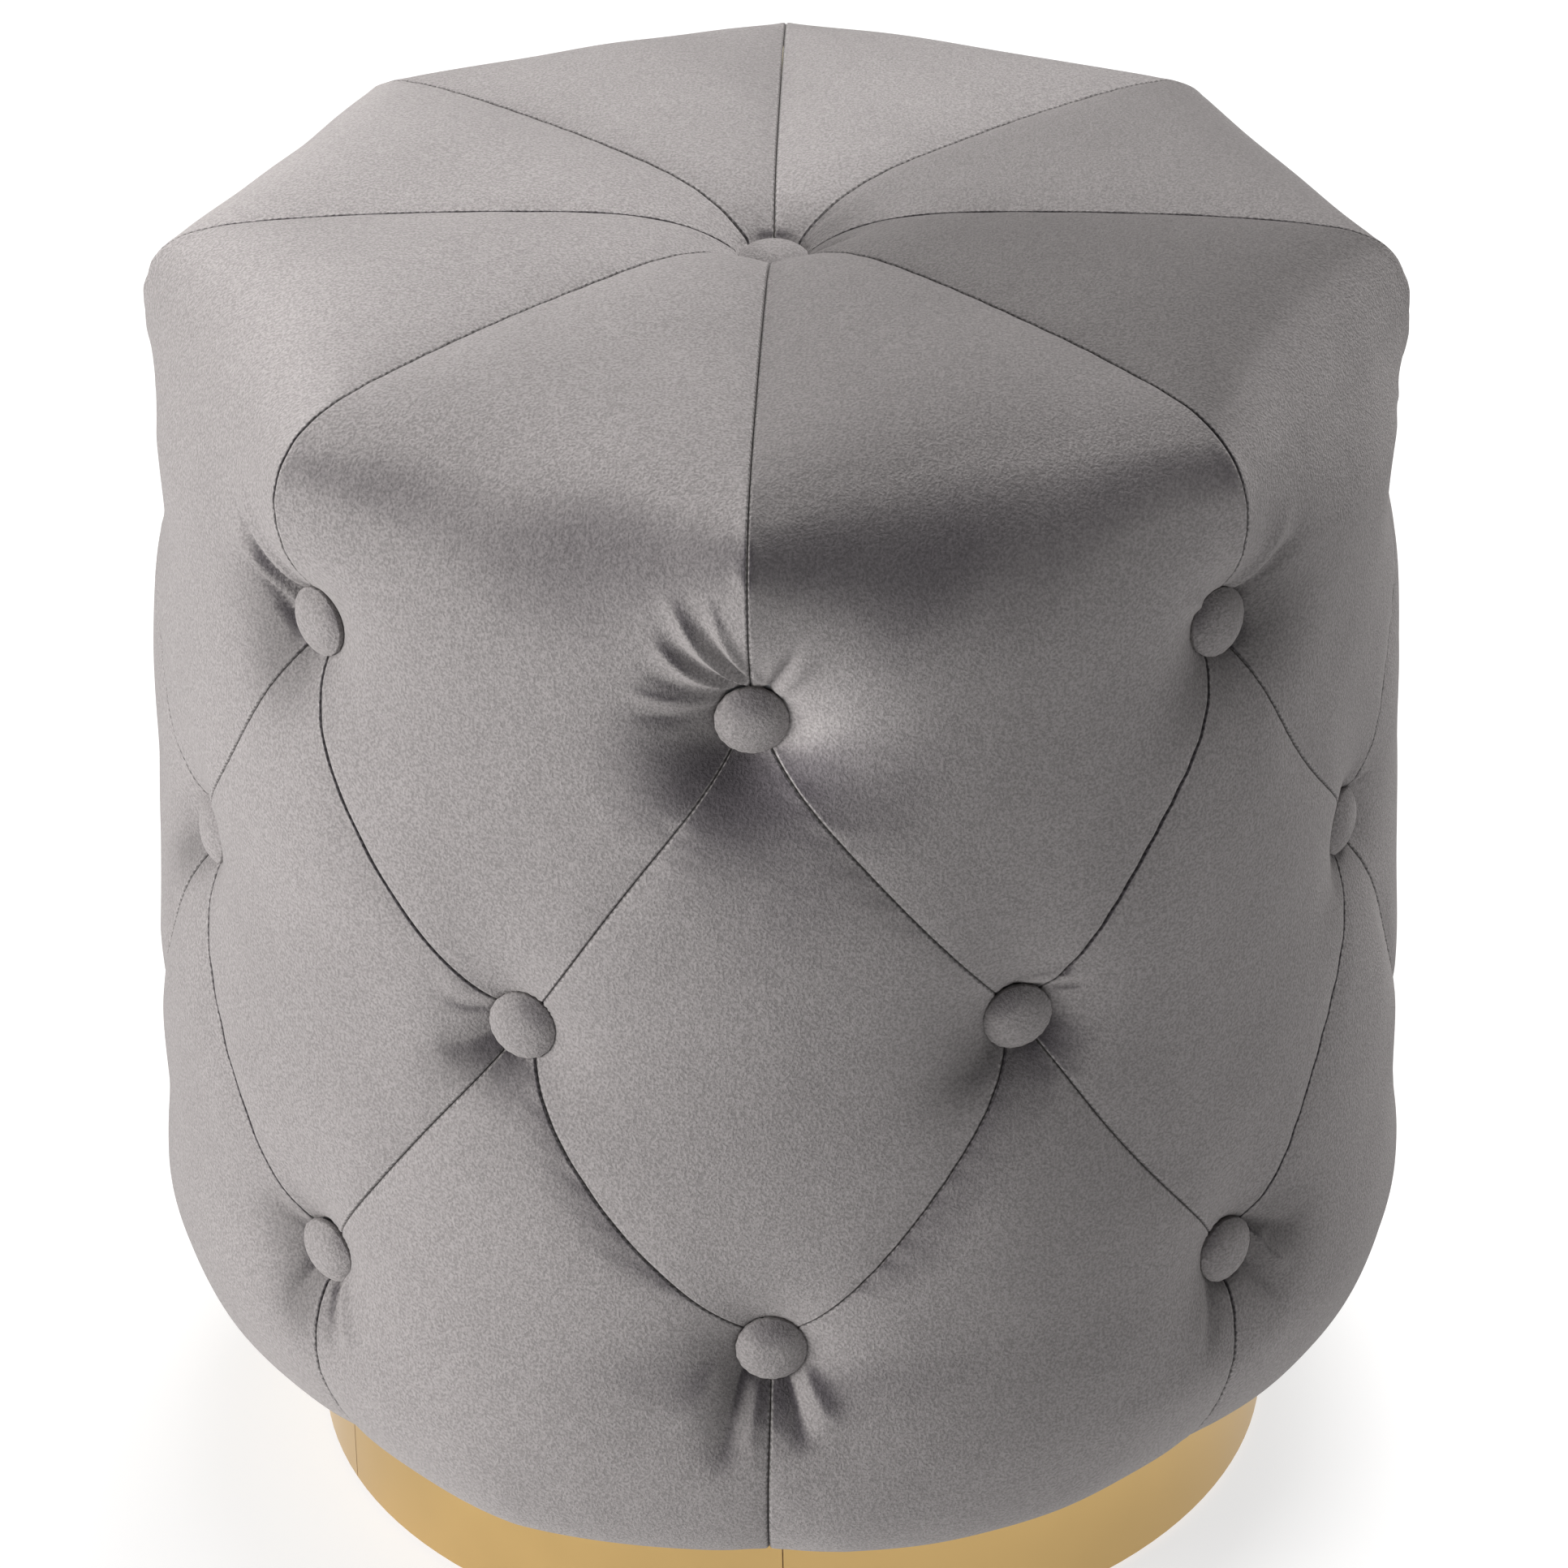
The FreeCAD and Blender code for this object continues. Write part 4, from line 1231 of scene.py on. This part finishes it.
    def petal_rows(self, index: int) -> tuple[Rows, list[Button]]:
        """A top petal, from its tip at the middle row to the top button."""
        middle = self.tufting.middle[index]
        seams = self.seams(Band.UPPER, ((index, 1), (index + 1, -1)), middle.azimuth)
        low = self.taper(middle, seams, self.corner_radius - self.shoulder_crown[0][0], True, True)
        seam, crown = self.shoulder(self.shoulder_seam), self.shoulder(self.shoulder_crown)
        fine = np.arange(self.row_step, self.shoulder_length, self.row_step)
        coarse = np.arange(fine[-1] + self.top_row_step, self.knots(seam)[-1], self.top_row_step)
        where = np.concatenate([fine, coarse])
        valleys = self.upright_valley, self.top_valley
        rows = low.joined(self.lines(middle.azimuth, seam, crown, where, valleys, self.top_fade))
        # The petal's tone on top is partly the nap's cut and partly painted light and shade.
        rows.tone = self.petal_tones[index]
        upper = self.tufting.upper
        return rows, [middle, upper[index], upper[(index + 1) % PANELS], self.tufting.top]

    def diamond_rows(self, index: int) -> tuple[Rows, list[Button]]:
        """A diamond, from its tip at the lower row to its tip at the upper row."""
        upper, lower = self.tufting.upper[index], self.tufting.lower[index]
        wide = self.tufting.middle[0].radius
        parts = []
        for band, tip, rising in ((Band.LOWER, lower, True), (Band.UPPER, upper, False)):
            seams = self.seams(band, ((index, -1), (index, 1)), tip.azimuth)
            parts.append(self.taper(tip, seams, wide, rising, False))
        rows = parts[0].joined(parts[1].picked(slice(1, None)))
        return rows, [upper, lower, self.tufting.middle[index], self.tufting.middle[index - 1]]

    def skirt_rows(self, index: int) -> tuple[Rows, list[Button]]:
        """A skirt panel, from its hem under the board to its tip at the middle row."""
        middle = self.tufting.middle[index]
        seam, crown = self.skirt(self.skirt_seam), self.skirt(self.skirt_crown)
        where = np.arange(0.0, self.knots(seam)[-1] - self.row_step / 2, self.row_step)
        valleys = self.top_valley, self.upright_valley
        low = self.lines(middle.azimuth, seam, crown, where, valleys, self.skirt_fade)
        seams = self.seams(Band.LOWER, ((index, 1), (index + 1, -1)), middle.azimuth)
        high = self.taper(middle, seams, self.hem_bulge - self.skirt_crown[-1][0], False, True)
        lower = self.tufting.lower
        return low.joined(high), [middle, lower[index], lower[(index + 1) % PANELS]]

    def softened(self, values: np.ndarray, weight: np.ndarray, passes: int) -> np.ndarray:
        """Evens values out from row to row, except where the weight is nothing."""
        smooth = values
        for _ in range(passes):
            smooth = evened(smooth)
        return blend(values, smooth, weight)

    def sunk(
        self, rows: Rows, across: np.ndarray, buttons: list[Button], push: object = 0.0, passes: int = 24
    ) -> dict[str, np.ndarray]:
        """Works out a panel's surface.

        Args:
            rows: the rows that it is laid out on.
            across: places across it, from -1 to 1.
            buttons: the buttons that pull it in.
            push: how far the padding pushes each point out.
            passes: how often the form is evened out from row to row.

        Returns:
            For each point its place, the way the surface faces, how deep it is sunk, the distance
            to the nearest seam and along it, the way its nap leans and its tone.
        """
        left, right = (
            polar(line[:, 0] + gap / line[:, 1], line[:, 1], line[:, 2])
            for line, gap in ((rows.left, self.seam_gap), (rows.right, -self.seam_gap))
        )
        crown = polar(*rows.crown.T)
        share = (across[None, :, None] + 1.0) / 2
        level = (1.0 - across**2)[None, :, None]
        base = left[:, None] + (right - left)[:, None] * share + (crown - (left + right) / 2)[:, None] * level
        half = np.linalg.norm(right - left, axis=1)[:, None] / 2 * rows.slant[:, None]
        near = (1.0 - np.abs(across))[None] * half
        far = (1.0 + np.abs(across))[None] * half
        inside = 1.0 - np.exp(-((near / self.soft_reach) ** 2))
        base = self.softened(base, inside[..., None], passes)
        valley, width = rows.valley[:, :1], rows.valley[:, 1:]
        seam_depth = valley * (np.exp(-4 * near / width) + np.exp(-4 * far / width)) ** 0.25
        depth = self.softened(seam_depth, inside, passes) ** self.union
        for button in buttons:
            depth = depth + button.depth(base) ** self.union
        azimuth = blend(rows.left[:, :1], rows.right[:, :1], share[:, :, 0])
        lean = blend(rows.lean[:, :1], rows.lean[:, 1:], level[:, :, 0])
        facing = outward(azimuth, lean)
        folds = self.marked(self.tufting.folds(), 0.0, base, azimuth, lean)
        # Painted shade and light beside the buttons, as a factor on the tone.
        patches = self.marked(self.tufting.painted_shading(), 1.0, base, azimuth, lean)
        depth = depth ** (1.0 / self.union) - push
        depth = depth + self.groove_depth * np.exp(-((near / self.groove_width) ** 2))
        depth = depth - self.unevenness(base) * (1.0 - np.exp(-near / self.wave_reach))
        depth = depth - self.puckers(base) * np.exp(-near / self.pucker_reach)
        depth = depth - folds * (1.0 - np.exp(-near / self.fold_rise))
        steps = (np.linalg.norm(np.diff(side, axis=0), axis=1) for side in (left, right))
        return {
            "points": self.settling.settle(base - facing * depth[..., None]),
            "facing": facing,
            "depth": depth,
            "seam": near,
            "along": np.where(across[None] < 0, *(travelled(each)[:, None] for each in steps)),
            "nap": -outward(np.broadcast_to(rows.crown[:, :1], lean.shape), lean + math.pi / 2),
            # tone: the petals' painted light and shade on top, times the painted shade and light beside the
            # buttons.
            "tone": blend(1.0, rows.tone, fade(lean, *self.tone_lean)) * patches,
        }

    def unevenness(self, points: np.ndarray) -> np.ndarray:
        """Slow, shallow swells in the padding."""
        total = np.zeros(points.shape[:-1])
        for x, y, z, phase in SWELL_WAVES:
            total += np.sin(points[..., 0] * x + points[..., 1] * y + points[..., 2] * z + phase)
        return total * self.wave_height

    def puckers(self, points: np.ndarray) -> np.ndarray:
        """The small gathers that stitches make beside a seam."""
        x, y, z = np.moveaxis(points, -1, 0)
        first, second = PUCKER_WAVES
        return self.pucker * np.sin(z * first[0] + x * first[1]) * np.sin(z * second[0] + y * second[1])

    def beside(self, button: Button, points: np.ndarray, azimuth: np.ndarray, lean: np.ndarray) -> tuple:
        """How far points lie to a button's right and up, and how much they count for it."""
        flat = fade(lean, *self.flat_lean)
        if button is self.tufting.top:
            return points[..., 0], points[..., 1], flat
        turn = half_turn(azimuth - button.azimuth)
        return turn * button.radius, points[..., 2] - button.height, 1.0 - flat

    def marked(
        self,
        marks: list[tuple[Button, list]],
        start: float,
        points: np.ndarray,
        azimuth: np.ndarray,
        lean: np.ndarray,
    ) -> np.ndarray:
        """What the folds or patches beside every button add up to.

        Args:
            marks: the buttons with the folds or patches beside them.
            start: what it is where there are none.
            points: the cover's points.
            azimuth: the azimuth of each.
            lean: how far the cover leans back at each.

        Returns:
            One value for each point.
        """
        total = np.full(azimuth.shape, start)
        for button, beside in marks:
            right, up, weight = self.beside(button, points, azimuth, lean)
            if np.min(np.hypot(right, up)) < self.mark_reach:
                total += weight * sum(mark.at(right, up) for mark in beside)
        return total

    def panel(self, name: str, laid: dict[str, np.ndarray], across: np.ndarray) -> bpy.types.Object:
        """Builds one panel as a closed shell of velvet on its wadding."""
        inner = np.linspace(len(across) - 1, 0, self.backing_columns).astype(int)
        ring = np.concatenate([np.arange(len(across)), inner, [0]])
        points = laid["points"][:, ring].copy()
        backing = slice(len(across), len(across) + len(inner))
        points[:, backing] -= laid["facing"][:, inner] * self.thickness
        mesh = laid_mesh(name, [points])
        for key, scale in (("seam", MM), ("along", MM), ("tone", 1.0)):
            values = mesh.attributes.new(key, "FLOAT", "POINT")
            values.data.foreach_set("value", (laid[key][:, ring] * scale).astype(np.float32).ravel())
        nap = mesh.attributes.new("nap", "FLOAT_VECTOR", "POINT")
        nap.data.foreach_set("vector", laid["nap"][:, ring].astype(np.float32).ravel())
        self.close(mesh, *points.shape[:2])
        made = piece(name + "_velvet", mesh, self.velvet)
        return made

    def close(self, mesh: bpy.types.Mesh, count: int, width: int) -> None:
        """Joins a panel's front to its back all round."""
        bm = bmesh.new()
        bm.from_mesh(mesh)
        bm.verts.ensure_lookup_table()
        pairs = {bm.verts[row * width + width - 1]: bm.verts[row * width] for row in range(count)}
        bmesh.ops.weld_verts(bm, targetmap=pairs)
        ends = [edge for edge in bm.edges if edge.is_boundary]
        bmesh.ops.holes_fill(bm, edges=ends, sides=0)
        bmesh.ops.recalc_face_normals(bm, faces=bm.faces)
        for face in bm.faces:
            face.smooth = True
        bm.to_mesh(mesh)
        bm.free()

    def pushes(self, plans: list[tuple[Rows, list[Button]]], across: np.ndarray) -> list:
        """How far the padding pushes every panel out, from the cloth simulation."""
        cells = np.linspace(-1.0, 1.0, self.swelling.cells)
        coarse, picks = [], []
        for rows, buttons in plans:
            count = len(rows.lean)
            pick = np.unique(np.append(np.arange(0, count, self.swelling.stride), count - 1))
            thin = rows.picked(pick)
            coarse.append(self.sunk(thin, cells, buttons, passes=0))
            picks.append(pick)
        pushes = []
        for push, pick, (rows, _) in zip(self.swelling.run(coarse), picks, plans):
            fine = np.arange(len(rows.lean)), across
            pushes.append(self.swelling.spread(push, pick.astype(float), cells, fine))
        log.info("cloth simulation: up to %.1f mm out", max(float(push.max()) for push in pushes))
        return pushes

    def build(self) -> None:
        """Builds and dresses every panel."""
        self.velvet = self.finish.material()
        across = self.columns()
        kinds = (("top", self.petal_rows), ("diamond", self.diamond_rows), ("skirt", self.skirt_rows))
        names, plans = [], []
        for kind, rows_of in kinds:
            for index in range(PANELS):
                names.append(f"{kind}_panel_{index + 1}")
                plans.append(rows_of(index))
        for name, (rows, buttons), push in zip(names, plans, self.pushes(plans, across)):
            made = self.panel(name, self.sunk(rows, across, buttons, push), across)
            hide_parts(name)
            if name.endswith("_1"):
                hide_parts(name.split("_")[0] + "_wadding")
                log.info("%s and the others of its kind: %d faces", name, len(made.data.polygons))


@dataclass
class Buttons:
    """The covered buttons, one piece for each row.

    back and rim are how far a button's back and the start of its dome stand out from its seat.
    The back edge is rounded off by edge_round, through a place that lies cut inside it, and a
    ring rim_drop below the rim keeps the side straight. The higher dome_power, the flatter the
    dome. Lengths are in millimetres and tilt is in degrees.
    """

    tufting: Tufting
    settling: Settling
    finish: VelvetFinish
    radius: float = 11.0
    back: float = 1.1
    rim: float = 3.4
    edge_round: float = 0.9
    cut: tuple[float, float] = (0.25, 0.3)
    rim_drop: float = 0.6
    dome_power: float = 2.7
    dome_steps: int = 12
    turn_steps: int = 56
    gathers: int = 18
    gather_depth: float = 0.12
    gather_power: int = 6
    tilt: float = 3.0
    seed: int = 5

    def cap(self) -> bpy.types.Mesh:
        """One button about +X, with its seat at zero and a gathered rim."""
        profile = [
            (0.0, self.back),
            (self.radius - self.edge_round, self.back),
            (self.radius - self.cut[0], self.back + self.cut[1]),
            (self.radius, self.back + self.edge_round),
            (self.radius, self.rim - self.rim_drop),
        ]
        for step in range(self.dome_steps + 1):
            share = math.sin(math.pi / 2 * (1.0 - step / self.dome_steps))
            height = blend(self.tufting.stand, self.rim, share**self.dome_power)
            profile.append((self.radius * share, height))
        bm = turned_profile(profile, self.turn_steps, Vector((1, 0, 0)))
        for vertex in bm.verts:
            turn = math.atan2(vertex.co.y, vertex.co.z)
            outer = math.hypot(vertex.co.y, vertex.co.z) / self.radius
            gather = (1.0 + math.cos(self.gathers * turn)) * outer**self.gather_power
            pull = 1.0 - self.gather_depth / self.radius * gather
            vertex.co.y *= pull
            vertex.co.z *= pull
        return as_mesh(bm, "cap")

    def tilted(self, draw: random.Random) -> Matrix:
        """A small tilt two ways, as a button hangs on its twine."""
        first = Matrix.Rotation(math.radians(draw.uniform(-self.tilt, self.tilt)), 4, "Y")
        second = Matrix.Rotation(math.radians(draw.uniform(-self.tilt, self.tilt)), 4, "Z")
        return first @ second

    def ring(self, name: str, node: str, buttons: list[Button], draw: random.Random) -> None:
        """Sets a cap on each seat of a row."""
        bm = bmesh.new()
        for button in buttons:
            cap = self.cap()
            tilt = self.tilted(draw)
            spin = Matrix.Rotation(draw.uniform(0, math.tau), 4, "X")
            turn = Matrix.Rotation(button.azimuth - math.pi / 2, 4, "Z")
            if button is self.tufting.top:
                turn = Matrix.Rotation(-math.pi / 2, 4, "Y")
            facing = turn @ Vector((1, 0, 0))
            place = button.place() - np.array(facing) * button.seat_depth
            place = Vector(self.settling.settle(place))
            cap.transform(Matrix.Translation(place) @ turn @ tilt @ spin)
            bm.from_mesh(cap)
            bpy.data.meshes.remove(cap)
        made = piece(name, finished(bm), self.velvet)
        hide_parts(node)

    def build(self) -> None:
        """Builds and dresses the buttons."""
        self.velvet = self.finish.material()
        draw = random.Random(self.seed)
        self.ring("top_button_velvet", "top_button", [self.tufting.top], draw)
        self.ring("upper_row_buttons_velvet", "upper_row_buttons", self.tufting.upper, draw)
        self.ring("middle_row_buttons_velvet", "middle_row_buttons", self.tufting.middle, draw)
        self.ring("lower_row_buttons_velvet", "lower_row_buttons", self.tufting.lower, draw)
        log.info("buttons: four rows")


@dataclass
class Padding:
    """The foam inside the cover, hidden once the pouf is closed.

    clearance is how far it keeps off its neighbours. The seat foam's shoulder goes down by
    shoulder_drop and in by shoulder_round of its radius. From flat_share of its radius inwards
    its top falls by flat_drop, and then by button_drop under the top button.
    """

    finish: ClothFinish
    clearance: float = 0.4
    shoulder_drop: float = 33.0
    shoulder_round: float = 0.21
    shoulder_steps: int = 8
    flat_share: float = 0.4
    flat_drop: float = 4.0
    button_drop: float = 15.0
    turn_steps: int = 96

    def turned(self, name: str, profile: list[tuple[float, float]], smooth: bool) -> bpy.types.Object:
        """One foam piece, turned about the pouf's axis."""
        mesh = finished(turned_profile(profile, self.turn_steps, Vector((0, 0, 1))), smooth)
        return piece(name, mesh, self.foam)

    def build(self) -> None:
        """Builds the seat foam and the side foam."""
        self.foam = self.finish.material()
        low, high = heights_of("seat_foam")
        radius = reach_of("seat_foam") - self.clearance
        top = high - self.clearance
        edge = top - self.shoulder_drop
        profile = [(0.0, low), (radius, low), (radius, edge)]
        for step in range(1, self.shoulder_steps + 1):
            turn = math.pi / 2 * step / self.shoulder_steps
            width = 1.0 - self.shoulder_round + self.shoulder_round * math.cos(turn)
            profile.append((radius * width, edge + (top - edge) * math.sin(turn)))
        profile += [(radius * self.flat_share, top - self.flat_drop), (0.0, top - self.button_drop)]
        made = self.turned("seat_foam_block", profile, True)
        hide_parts("seat_foam")
        low, high = heights_of("side_foam")
        radius, inner = reach_of("side_foam") - self.clearance, reach_of("frame_wall") + self.clearance
        profile = [(inner, low), (radius, low), (radius, high), (inner, high), (inner, low)]
        made = self.turned("side_foam_wrap", profile, False)
        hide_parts("side_foam")
        log.info("padding: seat foam and side foam")


@dataclass
class Carcass:
    """The frame, plinth and fixings, whose solids keep their shape and get their finish."""

    def finishes(self) -> dict[str, tuple[str, ...]]:
        """Every finish with the nodes that wear it."""
        board = WoodFinish("birch_plywood", shade(205, 172, 128), shade(158, 116, 74), (1.0, 9.0, 1.0), 0.003)
        pine = WoodFinish("pine", shade(222, 188, 138), shade(176, 128, 78), (14.0, 14.0, 1.0))
        gold = MetalFinish("satin_gold", shade(198, 166, 111), 0.34)
        steel = MetalFinish("zinc_steel", shade(176, 178, 182), 0.3)
        twine = ClothFinish("waxed_twine", shade(205, 196, 176), 2600.0, 0.0002)
        toggle = ClothFinish("moulded_toggle", shade(60, 58, 58), 900.0, 0.00005)
        felt = ClothFinish("felt", shade(72, 68, 66), 1500.0, 0.0004)
        dust = ClothFinish("dust_cloth", shade(42, 41, 43), 1200.0, 0.0002)
        return {
            board: ("seat_board", "frame_wall", "base_board", "plinth_hoop"),
            pine: ("frame_posts", "plinth_cleats"),
            gold: ("plinth_band",),
            steel: ("frame_screws", "plinth_screws", "cover_staples", "hem_staples", "button_loops"),
            twine: ("button_twines",),
            toggle: ("twine_toggles",),
            felt: ("floor_glides",),
            dust: ("dust_cover",),
        }

    def build(self) -> None:
        """Dresses the solids."""
        for finish, nodes in self.finishes().items():
            material = finish.material()
            for node in nodes:
                dress(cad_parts[node].data, material)
            log.info("%s: %s", finish.name, ", ".join(nodes))


@dataclass(frozen=True)
class Lamp:
    """A soft square lamp: its place and size in metres, its power in watts and its colour."""

    name: str
    place: tuple[float, float, float]
    size: float
    power: float
    colour: tuple[float, float, float]

    def build(self, aim: Vector) -> None:
        """Adds the lamp, turned towards a point."""
        data = bpy.data.lights.new(self.name, "AREA")
        data.shape, data.size, data.energy, data.color = "SQUARE", self.size, self.power, self.colour
        turn = (aim - Vector(self.place)).to_track_quat("-Z", "Y").to_matrix().to_4x4()
        placed(self.name, data).matrix_world = Matrix.Translation(self.place) @ turn


@dataclass
class Studio:
    """Pale floor, soft light from the left and from above, and the camera.

    The camera stands distance metres from its target at an elevation, swung to the right and
    rolled, in radians. lens and sensor are in millimetres. The floor reaches floor_reach metres
    each way and gives off some light, as the world does.
    """

    distance: float = 2.0
    elevation: float = math.radians(29.374)
    roll: float = math.radians(-1.008)
    swing: float = math.radians(2.537)
    target: Vector = field(default_factory=lambda: Vector((0.000446, 0.0, 0.22915)))
    lens: float = 140.55
    sensor: float = 36.0
    white: Colour = (1.0, 1.0, 1.0, 1.0)
    world_glow: float = 0.08
    floor_glow: float = 0.72
    floor_reach: float = 25.0
    floor_tones: tuple[Colour, Colour] = (shade(150, 150, 150), shade(156, 156, 156))
    aim: tuple[float, float, float] = (0.0, 0.0, 0.25)
    lamps: tuple[Lamp, ...] = (
        Lamp("key", (-2.26, -1.05, 0.65), 1.6, 93.0, (1.0, 0.985, 0.97)),
        Lamp("high", (0.4, 0.8, 2.6), 1.8, 93.0, (1.0, 0.99, 0.98)),
    )

    def camera(self) -> None:
        """Sets the camera where the photograph was taken from."""
        level, rise = math.cos(self.elevation), math.sin(self.elevation)
        back = Vector((math.sin(self.swing) * level, -math.cos(self.swing) * level, rise))
        right = Vector((math.cos(self.swing), math.sin(self.swing), 0.0))
        above = back.cross(right)
        across = right * math.cos(self.roll) + above * math.sin(self.roll)
        upright = above * math.cos(self.roll) - right * math.sin(self.roll)
        data = bpy.data.cameras.new("camera")
        data.lens, data.sensor_width = self.lens, self.sensor
        made = placed("camera", data)
        turn = Matrix((across, upright, back)).transposed()
        made.matrix_world = Matrix.Translation(self.target + back * self.distance) @ turn.to_4x4()
        bpy.context.scene.camera = made

    def floor(self) -> None:
        """Lays a wide pale floor."""
        bm = bmesh.new()
        bmesh.ops.create_grid(bm, x_segments=4, y_segments=4, size=self.floor_reach)
        mesh = as_mesh(bm, "floor")
        graph = Graph("studio_floor")
        colour = graph.mix(graph.noise(graph.place(), 3.0), *self.floor_tones)
        glow = {"Emission_Color": self.white, "Emission_Strength": self.floor_glow}
        mesh.materials.append(graph.surface(Base_Color=colour, Roughness=0.8, **glow))
        made = placed("floor", mesh)

    def build(self) -> None:
        """Sets up the studio."""
        self.camera()
        self.floor()
        world = bpy.data.worlds.new("studio")
        world.use_nodes = True
        background = world.node_tree.nodes["Background"]
        background.inputs["Color"].default_value = self.white
        background.inputs["Strength"].default_value = self.world_glow
        bpy.context.scene.world = world
        for lamp in self.lamps:
            lamp.build(Vector(self.aim))
        bpy.context.scene.view_settings.view_transform = "Standard"
        log.info("studio: camera, floor and %d lamps", len(self.lamps))


def main() -> None:
    """Builds the pouf and its studio."""
    logging.basicConfig(level=logging.INFO, format="%(name)s %(message)s")
    tufting = Tufting()
    settling = Settling(tufting)
    # deep and pale are the ends of the velvet's painted sheen, seen face on and at a slant; the buttons' deep
    # tone lies nearer to pale.
    deep, pale = shade(82, 78.5, 82), shade(133, 129.5, 129.5)
    cover_pile = VelvetFinish("cover_pile", deep, pale)
    button_pile = VelvetFinish("button_pile", shade(113, 109.5, 111), pale, nap=False)
    Cover(tufting, settling, Swelling(), cover_pile).build()
    Buttons(tufting, settling, button_pile).build()
    Padding(ClothFinish("foam", shade(236, 226, 190), 900.0, 0.0004, True)).build()
    Carcass().build()
    Studio().build()


if __name__ == "__main__":
    main()
